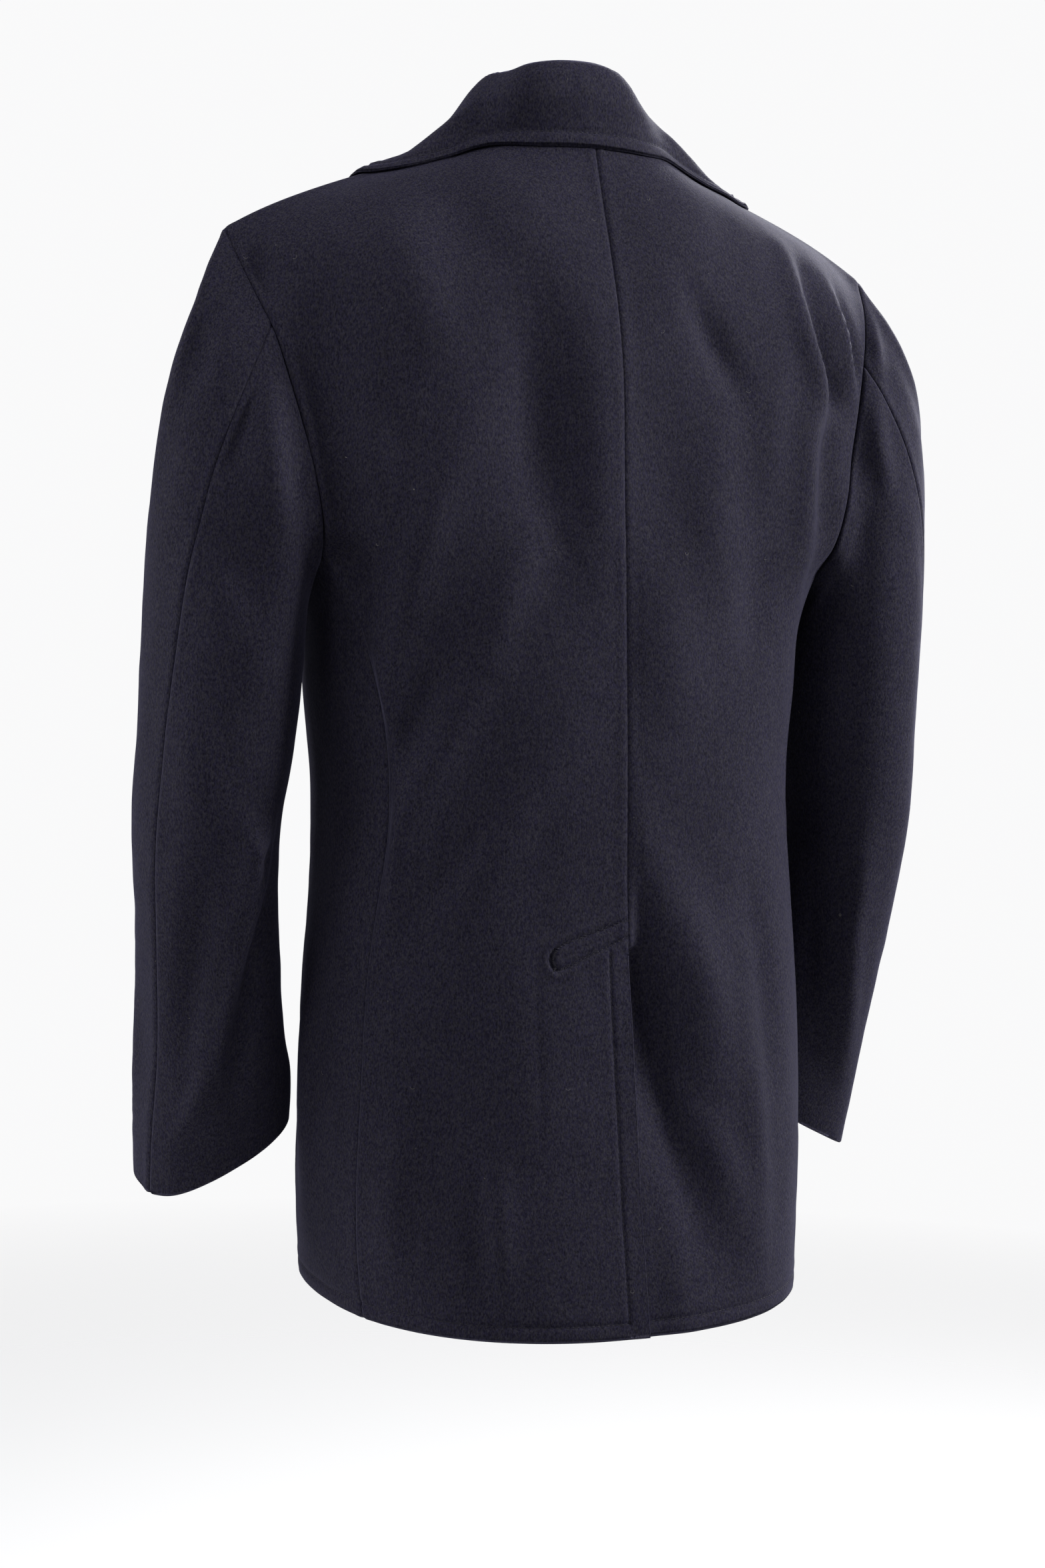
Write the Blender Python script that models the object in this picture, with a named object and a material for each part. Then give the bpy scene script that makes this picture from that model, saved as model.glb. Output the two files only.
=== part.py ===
"""Pea coat: a double-breasted wool coat in the hollow form that it has when worn.

Metres, +Z up. The wearer faces -Y and the wearer's left is +X. The origin lies
midway between the two points where the shoulder seams meet the neck.

Every cloth piece is one grid of points on the coat's outer face. Its wall is the
grid's extrusion towards the inside. Pieces that are sewn together share the points
of their seam, meet on a mitre there and stop SEAM_GAP apart.
"""
import math

import bmesh
import bpy
import numpy as np
from mathutils import Matrix, Vector
from mathutils.bvhtree import BVHTree

# ---------------------------------------------------------------- driving sizes
CLOTH = 0.003             # melton wool, one wall
COLLAR_CLOTH = 0.003
SEAM_GAP = 0.0003
LAY_GAP = 0.0004          # between a panel and what lies on it
NECK_GAP = 0.0014         # between the panels' neck edge and the collar's base
LIFT_REACH = 0.012        # how deep or high a point may lie when it is set on a panel
LAP_GAP = 0.0016          # between a panel and the one that it laps over

ARMPIT_Z = -0.262
CHEST_Z = -0.285          # height at the centre line of the row that ends at the armpit
YOKE_Z = -0.150           # cross-back level, where the columns turn to the shoulder
RING_POWER = 2.3

NECK_POINT = (0.085, 0.000, 0.012)
SHOULDER_TIP = (0.240, 0.000, -0.052)
NECK_BACK = (0.000, 0.050, 0.017)

OVERLAP_X = 0.100         # the front edge lies this far past the centre line
BREAK_Z = -0.240          # where the lapel starts to turn
VENT_TOP_Z = -0.509

BUTTON_RADIUS = 0.0155
BUTTON_THICK = 0.0042
BUTTON_X = 0.074
BUTTON_ROWS_Z = (-0.285, -0.400, -0.515)

# rows and columns of the grids
BODY_ROWS = 14            # hem to armpit
ARMHOLE_ROWS = 5          # armpit to yoke level
YOKE_ROWS = 7             # yoke level to shoulder
BACK_NECK_COLUMNS = 5     # centre back to neck point
BACK_SHOULDER_COLUMNS = 8
NECK_SHARE = 0.48         # share of the back's width below the neck columns
FRONT_COLUMNS = 2 * BACK_SHOULDER_COLUMNS
VENT_COLUMNS = 2          # of the left back's columns over the vent's under layer
LAPEL_ROWS, LAPEL_COLUMNS = 8, 6
COLLAR_FRONT_COLUMNS = 5  # of the collar, from the neck point to its end
COLLAR_STAND_STEPS = 5    # across the collar, from its base up to the fold
COLLAR_FALL_STEPS = 8     # and from the fold down to its edge
SLEEVE_HEAD_ROWS = 6      # armhole to biceps
SLEEVE_ARM_ROWS = 9       # biceps to cuff

NAVY = (0.0125, 0.0130, 0.0200)
HORN = (0.0100, 0.0100, 0.0120)

# ---------------------------------------------------------------- short tables
# body rings: height, half width, back and front at the centre line, side's middle
RING_COLUMNS = ("z", "half_width", "back_y", "front_y", "middle_y")
RINGS = (
    (-0.760, 0.1690, 0.1735, -0.1290, 0.018),
    (-0.735, 0.1715, 0.1690, -0.1285, 0.018),
    (-0.690, 0.1745, 0.1600, -0.1270, 0.021),
    (-0.620, 0.1755, 0.1470, -0.1230, 0.024),
    (-0.550, 0.1745, 0.1350, -0.1200, 0.023),
    (-0.480, 0.1700, 0.1265, -0.1210, 0.021),
    (-0.410, 0.1675, 0.1230, -0.1270, 0.013),
    (-0.340, 0.1740, 0.1180, -0.1350, 0.010),
    (-0.300, 0.1775, 0.1140, -0.1400, 0.011),
    (-0.262, 0.1900, 0.1095, -0.1430, 0.012),
    (-0.245, 0.2080, 0.1070, -0.1440, 0.012),
    (-0.214, 0.2280, 0.1030, -0.1430, 0.012),
    (-0.180, 0.2280, 0.0998, -0.1410, 0.012),
    (-0.150, 0.2296, 0.0975, -0.1380, 0.012),
)
# hem: how far the edge drops from the front to the centre back
HEM_FRONT_Z = -0.747
HEM_BACK_Z = -0.758

# side seam: height and bearing from the centre back, in degrees
SEAM_COLUMNS = ("z", "bearing")
SIDE_SEAM = (
    (-0.760, 69.5),
    (-0.700, 72.0),
    (-0.600, 72.8),
    (-0.500, 72.0),
    (-0.420, 68.0),
    (-0.350, 69.5),
    (-0.300, 75.0),
    (-0.262, 80.0),
)

# left armhole, from the armpit up the back to the shoulder tip and down the front
ARMHOLE_COLUMNS = ("x", "y", "z")
ARMHOLE_BACK = (
    (0.1860, 0.0450, -0.262),
    (0.1905, 0.0600, -0.245),
    (0.1975, 0.0640, -0.214),
    (0.2045, 0.0575, -0.180),
    (0.2118, 0.0520, -0.152),
    (0.2205, 0.0430, -0.1195),
    (0.2285, 0.0320, -0.0975),
    (0.2350, 0.0190, -0.0765),
    SHOULDER_TIP,
)
ARMHOLE_FRONT = (
    (0.1860, 0.0450, -0.262),
    (0.1885, 0.0050, -0.260),
    (0.1900, -0.0280, -0.247),
    (0.1955, -0.0550, -0.217),
    (0.2040, -0.0680, -0.180),
    (0.2130, -0.0690, -0.150),
    (0.2235, -0.0580, -0.117),
    (0.2310, -0.0400, -0.090),
    (0.2370, -0.0170, -0.066),
    SHOULDER_TIP,
)

# left sleeve below its head: ring centre, half sizes, the slopes of its plane, how
# square it is, and the bearing of the elbow seam from the outside, in degrees
SLEEVE_COLUMNS = ("z", "x", "y", "half_width", "half_depth", "slope_x", "slope_y",
                  "power", "elbow_seam")
SLEEVE = (
    (-0.330, 0.2370, -0.0005, 0.0515, 0.0660, 0.05, 0.00, 2.0, 32.0),
    (-0.380, 0.2390, -0.0035, 0.0500, 0.0650, 0.03, 0.05, 2.0, 28.0),
    (-0.430, 0.2430, -0.0090, 0.0465, 0.0625, 0.03, 0.10, 2.1, 25.0),
    (-0.480, 0.2410, -0.0147, 0.0455, 0.0600, 0.05, 0.12, 2.1, 23.0),
    (-0.530, 0.2355, -0.0220, 0.0445, 0.0575, 0.12, 0.12, 2.2, 20.0),
    (-0.580, 0.2295, -0.0325, 0.0455, 0.0555, 0.24, 0.12, 2.3, 19.0),
    (-0.625, 0.2238, -0.0455, 0.0500, 0.0530, 0.38, 0.11, 2.5, 20.0),
    (-0.661, 0.2210, -0.0540, 0.0505, 0.0495, 0.50, 0.18, 2.6, 20.0),
)
FOREARM_SEAM = -128.0     # bearing of the inner seam
ELBOW_SEAM_STEP = 8       # armhole points counted from the armpit, up the back
FOREARM_SEAM_STEP = 3     # and up the front

# left half of the collar: its section at five stations round the neck
COLLAR_COLUMNS = ("station", "stand", "stand_top", "crest", "fall_top", "fall_mid",
                  "flare", "edge")
COLLAR = (
    (0.00, (0.0000, 0.0415, 0.0400), (0.0000, 0.0385, 0.0615), (0.0000, 0.0435, 0.0702),
     (0.0000, 0.0488, 0.0630), (0.0000, 0.0528, 0.0440), (0.0000, 0.0548, 0.0260),
     (0.0000, 0.0555, 0.0137)),
    (0.25, (0.0380, 0.0360, 0.0385), (0.0305, 0.0315, 0.0590), (0.0320, 0.0366, 0.0672),
     (0.0380, 0.0418, 0.0605), (0.0425, 0.0465, 0.0420), (0.0440, 0.0490, 0.0260),
     (0.0435, 0.0490, 0.0128)),
    (0.45, (0.0580, 0.0195, 0.0350), (0.0445, 0.0145, 0.0520), (0.0462, 0.0180, 0.0605),
     (0.0535, 0.0215, 0.0545), (0.0660, 0.0265, 0.0390), (0.0755, 0.0310, 0.0235),
     (0.0810, 0.0310, 0.0105)),
    (0.62, (0.0680, -0.0005, 0.0300), (0.0540, -0.0005, 0.0475), (0.0562, 0.0015, 0.0565),
     (0.0640, 0.0030, 0.0500), (0.0810, 0.0080, 0.0335), (0.1080, 0.0150, 0.0145),
     (0.1370, 0.0175, -0.0045)),
    (0.80, (0.0590, -0.0460, 0.0000), (0.0510, -0.0440, 0.0110), (0.0560, -0.0450, 0.0200),
     (0.0660, -0.0470, 0.0130), (0.0880, -0.0450, -0.0010), (0.1240, -0.0370, -0.0160),
     (0.1600, -0.0280, -0.0270)),
    (1.00, (0.0510, -0.0760, -0.0360), (0.0500, -0.0830, -0.0335), (0.0530, -0.0880, -0.0325),
     (0.0580, -0.0900, -0.0370), (0.0800, -0.0930, -0.0560), (0.1050, -0.0970, -0.0695),
     (0.1480, -0.0900, -0.0830)),
)
CREST = 3                 # the crest's place in a section, behind the base
COLLAR_LEAN = 0.008       # the worn collar leans to the wearer's left
COLLAR_TUCK = 0.004       # and its right half is pulled in
COLLAR_END_Z = -0.036
NECK_STATION = 0.62       # station beside the neck point

# left lapel seen from the front, in x and z: the points where its outline turns
LAPEL_FOOT_Z, LAPEL_GORGE_Z = -0.234, -0.046
LAPEL_INSET = 0.003       # from the opening edge
LAPEL_NOTCH = (0.1040, -0.0750)
LAPEL_TIP = (0.1320, -0.1030)
RIGHT_LAPEL_START = 0.68  # the right lapel's lower part would lie under the left front

WELT_TOP, WELT_BOTTOM = (0.116, -0.425), (0.128, -0.580)
WELT_WIDTH = 0.026

# largest folds: height out of the cloth, or depth if negative, half width, and the ends
# and middle of the line that each one follows
FOLD_COLUMNS = ("piece", "height", "half_width", "start", "middle", "end")
FOLDS = (
    ("back_right", 0.006, 0.014, (-0.166, 0.073, -0.110), (-0.148, 0.087, -0.190),
     (-0.152, 0.080, -0.290)),
    ("back_right", -0.007, 0.013, (-0.192, 0.062, -0.115), (-0.172, 0.076, -0.180),
     (-0.172, 0.070, -0.265)),
    ("back_right", 0.003, 0.016, (-0.134, 0.082, -0.100), (-0.117, 0.092, -0.180),
     (-0.118, 0.094, -0.235)),
    ("back_right", -0.003, 0.022, (-0.012, 0.130, -0.490), (-0.036, 0.146, -0.620),
     (-0.064, 0.157, -0.720)),
    ("back_left", -0.005, 0.015, (0.186, 0.058, -0.085), (0.178, 0.070, -0.143),
     (0.150, 0.086, -0.200)),
    ("back_left", 0.004, 0.013, (0.166, 0.070, -0.120), (0.167, 0.080, -0.200),
     (0.152, 0.082, -0.285)),
    ("back_left", 0.003, 0.022, (0.078, 0.097, -0.170), (0.128, 0.088, -0.300),
     (0.158, 0.064, -0.480)),
    ("back_left", -0.0025, 0.018, (0.080, 0.107, -0.280), (0.102, 0.106, -0.390),
     (0.128, 0.095, -0.460)),
    ("front_left", 0.004, 0.016, (0.188, -0.075, -0.110), (0.170, -0.100, -0.200),
     (0.150, -0.110, -0.300)),
    ("front_right", 0.005, 0.016, (-0.186, -0.075, -0.120), (-0.165, -0.100, -0.210),
     (-0.152, -0.108, -0.290)),
    ("under_sleeve_left", 0.003, 0.012, (0.217, 0.051, -0.140), (0.224, 0.063, -0.205),
     (0.214, 0.064, -0.280)),
    ("under_sleeve_left", 0.004, 0.014, (0.226, 0.045, -0.440), (0.238, 0.034, -0.540),
     (0.244, 0.010, -0.640)),
    ("under_sleeve_right", 0.004, 0.014, (-0.222, 0.048, -0.400), (-0.236, 0.038, -0.490),
     (-0.240, 0.016, -0.590)),
    ("top_sleeve_left", -0.003, 0.014, (0.255, -0.058, -0.370), (0.240, -0.072, -0.420),
     (0.222, -0.070, -0.450)),
    ("top_sleeve_right", -0.004, 0.014, (-0.258, -0.056, -0.390), (-0.240, -0.074, -0.430),
     (-0.222, -0.072, -0.465)),
)


# ---------------------------------------------------------------- small helpers
def smoothstep(low, high, value):
    t = np.clip((np.asarray(value, float) - low) / (high - low), 0.0, 1.0)
    return t * t * (3.0 - 2.0 * t)


def unit(vectors):
    vectors = np.asarray(vectors, float)
    return vectors / np.maximum(np.linalg.norm(vectors, axis=-1, keepdims=True), 1e-12)


def spline(knots, values, at):
    """Smooth curve through values at knots, with slopes taken from the neighbours."""
    knots = np.asarray(knots, float)
    values = np.asarray(values, float)
    slopes = np.gradient(values, knots, axis=0)
    at = np.clip(np.asarray(at, float), knots[0], knots[-1])
    k = np.clip(np.searchsorted(knots, at, side="right") - 1, 0, len(knots) - 2)
    span = knots[k + 1] - knots[k]
    t = (at - knots[k]) / span
    if values.ndim > 1:
        t, span = t[..., None], span[..., None]
    return ((2 * t**3 - 3 * t**2 + 1) * values[k] + (t**3 - 2 * t**2 + t) * span * slopes[k]
            + (3 * t**2 - 2 * t**3) * values[k + 1] + (t**3 - t**2) * span * slopes[k + 1])


def table_value(rows, columns, name, z):
    """One column of a table that runs upwards in z, read at height z."""
    rows = sorted(rows, key=lambda row: row[columns.index("z")])
    knots = [row[columns.index("z")] for row in rows]
    return spline(knots, [row[columns.index(name)] for row in rows], z)


def bezier(p0, p1, p2, p3, t):
    t = np.asarray(t, float)[..., None]
    s = 1.0 - t
    return s**3 * p0 + 3 * s**2 * t * p1 + 3 * s * t**2 * p2 + t**3 * p3


def path_length(points):
    """Length along a row of points, at each of them."""
    return np.concatenate([[0], np.cumsum(np.linalg.norm(np.diff(points, axis=0), axis=1))])


def along(points, shares, corner=0):
    """Points along a smooth curve through the given ones.

    A share runs from 0 at the start to 1 at the end, or, where a corner point's number is
    given, from -1 at the start over 0 at that point to 1 at the end.
    """
    points = np.asarray(points, float)
    knots = path_length(points)
    fine = spline(knots, points, np.linspace(0, knots[-1], 400))
    length = path_length(fine)
    turn = np.interp(knots[corner], np.linspace(0, knots[-1], 400), length)
    wanted = np.interp(shares, [-1, 0, 1], [0, turn, length[-1]])
    return np.stack([np.interp(wanted, length, fine[:, axis]) for axis in range(3)], axis=1)


def mirrored(points):
    return np.asarray(points, float) * (-1.0, 1.0, 1.0)


# ---------------------------------------------------------------- the body's form
def ring_point(bearing, z):
    """Point of the body at a bearing from the centre back, in radians, and a height."""
    bearing, z = np.broadcast_arrays(np.asarray(bearing, float), np.asarray(z, float))
    half, back, front, middle = (table_value(RINGS, RING_COLUMNS, name, z)
                                 for name in RING_COLUMNS[1:])
    depth = np.where(np.cos(bearing) > 0, back - middle, middle - front)
    radius = ((np.abs(np.sin(bearing)) / half) ** RING_POWER
              + (np.abs(np.cos(bearing)) / depth) ** RING_POWER) ** (-1 / RING_POWER)
    return np.stack([radius * np.sin(bearing), middle + radius * np.cos(bearing), z], axis=-1)


def bearing_of(point):
    """Bearing at which the body's ring passes a point's plan position."""
    middle = table_value(RINGS, RING_COLUMNS, "middle_y", point[..., 2])
    return np.arctan2(point[..., 0], point[..., 1] - middle)


def bearing_at_x(x, z):
    """Bearing on the front where the ring at height z passes x."""
    low, high = math.radians(95), math.radians(265)
    for _ in range(40):
        middle = (low + high) / 2
        if ring_point(middle, z)[0] > x:
            low = middle
        else:
            high = middle
    return middle


def hem_z(bearing):
    """The hem drops towards the back."""
    return HEM_FRONT_Z + (HEM_BACK_Z - HEM_FRONT_Z) * (0.5 + 0.5 * np.cos(bearing))


def armhole(side_points):
    """Armhole points from the armpit to the shoulder tip, one for each grid row."""
    return along(side_points, np.linspace(0, 1, ARMHOLE_ROWS + YOKE_ROWS + 1))


def body_rows(share, edge_bearing, centre_bearing, edge_points):
    """Grid rows from the hem to the yoke level.

    share is each column's place between the centre line, 0, and the side, 1. The two
    bearing functions give the ends of a row at a height.
    """
    rows = []
    rise = share**6
    chest_z = CHEST_Z + (ARMPIT_Z - CHEST_Z) * rise
    for step in np.linspace(0, 1, BODY_ROWS + 1)[:-1]:
        ends = [centre_bearing(HEM_BACK_Z + step * (ARMPIT_Z - HEM_BACK_Z)),
                edge_bearing(HEM_BACK_Z + step * (ARMPIT_Z - HEM_BACK_Z))]
        bearing = ends[0] + (ends[1] - ends[0]) * share
        z = hem_z(bearing) + step * (chest_z - hem_z(bearing))
        rows.append(ring_point(bearing, z))
    for k in range(ARMHOLE_ROWS + 1):
        centre_z = CHEST_Z + (YOKE_Z - CHEST_Z) * k / ARMHOLE_ROWS
        z = centre_z + (edge_points[k, 2] - centre_z) * (rise if k < 2 else share**3)
        far = bearing_of(edge_points[k])
        bearing = centre_bearing(centre_z) + (far - centre_bearing(centre_z)) * share
        row = ring_point(bearing, z)
        rows.append(row + (edge_points[k] - row[-1]) * (share**4)[:, None])
    return np.stack(rows)


def yoke_rows(below, foot, top, leave, arrive, share, edge_points):
    """Grid rows from the yoke level over the shoulder, as one curve for each column."""
    up = unit(foot - below)
    steps = np.linspace(0, 1, YOKE_ROWS + 1)[1:]
    columns = bezier(foot, foot + up * leave[:, None], top - arrive, top, steps[:, None])
    wanted = edge_points[ARMHOLE_ROWS + 1:]
    return columns + (wanted - columns[:, -1])[:, None, :] * (share**5)[None, :, None]


def faired(grid, first_row, passes):
    """Grid evened out between its borders, from a row upwards, without shrinking it."""
    grid = grid.copy()
    for weight in (0.50, -0.53) * passes:
        pull = (grid[:-2, 1:-1] + grid[2:, 1:-1] + grid[1:-1, :-2] + grid[1:-1, 2:]) / 4
        pull -= grid[1:-1, 1:-1]
        grid[1:-1, first_row:-1] += weight * pull[:, first_row - 1:]
    return grid


def back_grid():
    """Outer face of the left back: columns from the centre to the side, rows upwards."""
    share = np.concatenate([np.linspace(0, NECK_SHARE, BACK_NECK_COLUMNS + 1),
                            np.linspace(NECK_SHARE, 1, BACK_SHOULDER_COLUMNS + 1)[1:]])
    edge_points = armhole(ARMHOLE_BACK)
    lower = body_rows(share, lambda z: math.radians(table_value(SIDE_SEAM, SEAM_COLUMNS, "bearing", z)),
                      lambda z: 0.0, edge_points)
    neck = neckline(BACK_NECK_COLUMNS)
    shoulder = shoulder_line(BACK_SHOULDER_COLUMNS)
    top = np.concatenate([neck, shoulder[1:]])
    inner = np.clip(share / NECK_SHARE, 0, 1)[:, None]
    outer = np.clip((share - NECK_SHARE) / (1 - NECK_SHARE), 0, 1)[:, None]
    arrive = ((1 - inner) * np.array([0.0, -0.33, 0.94]) + inner * np.array([-0.50, -0.85, 0.10])
              + outer * (2 - outer) * np.array([0.50, -0.15, 0.02]))
    arrive = unit(arrive) * (0.055 + 0.012 * inner * (1 - outer) ** 2)
    upper = yoke_rows(lower[-2], lower[-1], top, 0.060 + 0.010 * share, arrive, share, edge_points)
    return faired(np.concatenate([lower, upper]).transpose(1, 0, 2), BODY_ROWS + 2, 25)


def neckline(count):
    """Back neckline from the centre back to the neck point."""
    t = np.linspace(0, 1, count + 1)
    back, side = np.array(NECK_BACK), np.array(NECK_POINT)
    return bezier(back, back + (0.045, 0.0, 0.0), side + (-0.006, 0.024, 0.005), side, t)


def shoulder_line(count):
    """Shoulder seam from the neck point to the tip, a little hollow near the neck."""
    t = np.linspace(0, 1, count + 1)
    a, b = np.array(NECK_POINT), np.array(SHOULDER_TIP)
    return bezier(a, a + (0.045, 0.0, -0.017), b + (-0.045, 0.0, 0.030), b, t)


def roll_x(z):
    """Left front's opening edge: up the lap, then along the roll line to the neck."""
    rise = np.clip((z - BREAK_Z) / (NECK_POINT[2] - BREAK_Z), 0, 1)
    return -OVERLAP_X + (OVERLAP_X + NECK_POINT[0]) * rise


def front_grid():
    """Outer face of the left front: columns from its opening edge to the side."""
    share = np.linspace(0, 1, FRONT_COLUMNS + 1)
    edge_points = armhole(ARMHOLE_FRONT)
    lower = body_rows(share, lambda z: math.radians(table_value(SIDE_SEAM, SEAM_COLUMNS, "bearing", z)),
                      lambda z: bearing_at_x(roll_x(z), z), edge_points)
    seam = shoulder_line(BACK_SHOULDER_COLUMNS)
    top = np.empty((FRONT_COLUMNS + 1, 3))
    top[::2], top[1::2] = seam, (seam[1:] + seam[:-1]) / 2
    turn = share[:, None]
    arrive = 0.075 * ((1 - turn) * np.array([0.30, 0.80, 0.55]) + turn * np.array([0.0, 1.0, 0.12]))
    leave = 0.070 - 0.010 * share
    upper = yoke_rows(lower[-2], lower[-1], top, leave, arrive, share, edge_points)
    stray = roll_x(upper[:, 0, 2]) - upper[:, 0, 0]
    upper[..., 0] += stray[:, None] * (1 - share) ** 4
    return faired(np.concatenate([lower, upper]).transpose(1, 0, 2), BODY_ROWS + 2, 25)


# ---------------------------------------------------------------- the sleeves
def sleeve_ring(z, turns):
    """Points of the left sleeve at a level.

    turns gives each column's place round the armhole: whole steps from the armpit, up
    the back, over the shoulder and down the front. A bearing of 0 points outwards and
    90 to the back.
    """
    value = {name: float(table_value(SLEEVE, SLEEVE_COLUMNS, name, z))
             for name in SLEEVE_COLUMNS[1:]}
    last = 2 * (ARMHOLE_ROWS + YOKE_ROWS)
    bearing = np.radians(np.interp(turns, [0, ELBOW_SEAM_STEP, last - FOREARM_SEAM_STEP, last],
                                   [180.0, value["elbow_seam"], FOREARM_SEAM, -180.0]))
    cos, sin = np.cos(bearing), np.sin(bearing)
    radius = (np.abs(cos) ** value["power"] + np.abs(sin) ** value["power"]) ** (-1 / value["power"])
    x = value["half_width"] * radius * cos
    y = value["half_depth"] * radius * sin
    return np.stack([value["x"] + x, value["y"] + y,
                     z - value["slope_x"] * x - value["slope_y"] * y], axis=-1)


def sleeve_grid():
    """Whole left sleeve: a closed set of columns from the armpit, up the back and round."""
    back, front = armhole(ARMHOLE_BACK), armhole(ARMHOLE_FRONT)
    loop = np.concatenate([back, front[-2::-1]])
    turns = np.arange(len(loop))
    start_z, end_z = SLEEVE[0][0], SLEEVE[-1][0]
    foot = sleeve_ring(start_z, turns)
    below = sleeve_ring(start_z - 0.01, turns)
    height = ((loop[:, 2] - ARMPIT_Z) / (SHOULDER_TIP[2] - ARMPIT_Z))[:, None]
    leave = (1 - height) * np.array([0.35, 0.0, -1.0]) + height * np.array([0.66, 0.62, -1.0])
    reach = np.linalg.norm(foot - loop, axis=1, keepdims=True) / 3
    head = bezier(loop, loop + unit(leave) * reach * (1.0 + 0.22 * height),
                  foot - unit(below - foot) * reach * (1.0 + 0.5 * height), foot,
                  np.linspace(0, 1, SLEEVE_HEAD_ROWS + 1)[:, None])
    arm = [sleeve_ring(z, turns) for z in np.linspace(start_z, end_z, SLEEVE_ARM_ROWS + 1)[1:]]
    return np.concatenate([head, np.stack(arm)]).transpose(1, 0, 2)


# ---------------------------------------------------------------- the collar
def neck_edge(back, front):
    """The left panels' edge at the neck and the way out of it, at the collar's columns.

    The collar has a column at every point of the edge and one between them, so that its
    base runs along the same straight pieces. The third value is each column's station.
    """
    edge = np.concatenate([back[:BACK_NECK_COLUMNS + 1, -1], front[0, -2::-1]])
    beside = np.concatenate([back[:BACK_NECK_COLUMNS + 1, -2], front[1, -2::-1]])
    numbers = np.arange(len(edge))
    last = float(np.interp(-COLLAR_END_Z, -edge[:, 2], numbers))
    place = np.concatenate([np.arange(2 * BACK_NECK_COLUMNS + COLLAR_FRONT_COLUMNS) / 2, [last]])
    station = np.interp(place, [0, BACK_NECK_COLUMNS, last], [0, NECK_STATION, 1])
    points, out = (np.stack([np.interp(place, numbers, values[:, axis]) for axis in range(3)],
                            axis=1) for values in (edge, unit(edge - beside)))
    return points, out, station


def collar_grid(back, front):
    """Visible face of the collar: columns round the neck, rows from base to edge."""
    knots = np.array([row[0] for row in COLLAR])
    points = np.array([row[1:] for row in COLLAR], float)
    edge, out, station = neck_edge(back, front)
    foot = edge + out * NECK_GAP
    foot = np.concatenate([mirrored(foot[:0:-1]), foot])
    wanted = np.concatenate([-station[:0:-1], station])
    both = np.concatenate([mirrored(points[:0:-1]), points])
    sections = spline(np.concatenate([-knots[:0:-1], knots]),
                      both.reshape(len(both), -1), wanted).reshape(len(wanted), -1, 3)
    run = unit(np.gradient(foot, axis=0))
    to_neck = unit(np.cross(unit(sections[:, 0] - foot), run))
    to_neck *= np.sign(-(to_neck * (foot - (0.0, -0.01, 0.0)) * (1, 1, 0)).sum(axis=1))[:, None]
    sections = np.concatenate([(foot + to_neck * COLLAR_CLOTH)[:, None], sections], axis=1)

    shares = np.concatenate([-np.linspace(1, 0, COLLAR_STAND_STEPS + 1)[:-1] ** 1.4,
                             np.linspace(0, 1, COLLAR_FALL_STEPS + 1) ** 1.3])
    grid = np.stack([along(section, shares, CREST) for section in sections])
    tuck = smoothstep(0.0, 0.45, -wanted) * (1 - smoothstep(0.65, 0.95, -wanted))
    grid[..., 0] += COLLAR_LEAN * smoothstep(0.010, 0.055, grid[..., 2])
    grid[..., 0] += COLLAR_TUCK * tuck[:, None] * smoothstep(0, 4, np.arange(len(shares)))
    return grid


# ---------------------------------------------------------------- pieces and walls
def grid_normals(grid):
    """Normal at each grid point, from the faces round it."""
    faces = np.cross(grid[1:, 1:] - grid[:-1, :-1], grid[:-1, 1:] - grid[1:, :-1])
    normals = np.zeros_like(grid)
    for i, j in ((0, 0), (0, 1), (1, 0), (1, 1)):
        normals[i:i + len(faces), j:j + faces.shape[1]] += faces
    return unit(normals)


def folded(name, grid, facing):
    """The grid with a piece's folds pressed into it; its borders stay where they are."""
    out = grid.copy()
    normals = facing * grid_normals(grid)
    i, j = np.indices(grid.shape[:2])
    to_edge = np.minimum(np.minimum(i, len(grid) - 1 - i), np.minimum(j, grid.shape[1] - 1 - j))
    for piece, height, half_width, start, middle, end in FOLDS:
        if piece != name:
            continue
        start, middle, end = (np.array(point) for point in (start, middle, end))
        t = np.linspace(0, 1, 40)
        line = bezier(start, middle, middle, end, t)
        away = np.linalg.norm(grid[:, :, None] - line, axis=-1)
        fade = np.sin(np.pi * np.clip(t + 0.08, 0, 1)) ** 0.5
        swell = (np.exp(-(away / half_width) ** 2) * fade).max(axis=-1)
        out += normals * (height * swell * np.minimum(to_edge * 0.7, 1.0))[..., None]
    return out


SLEEVES = ("top_sleeve", "under_sleeve")


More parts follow.
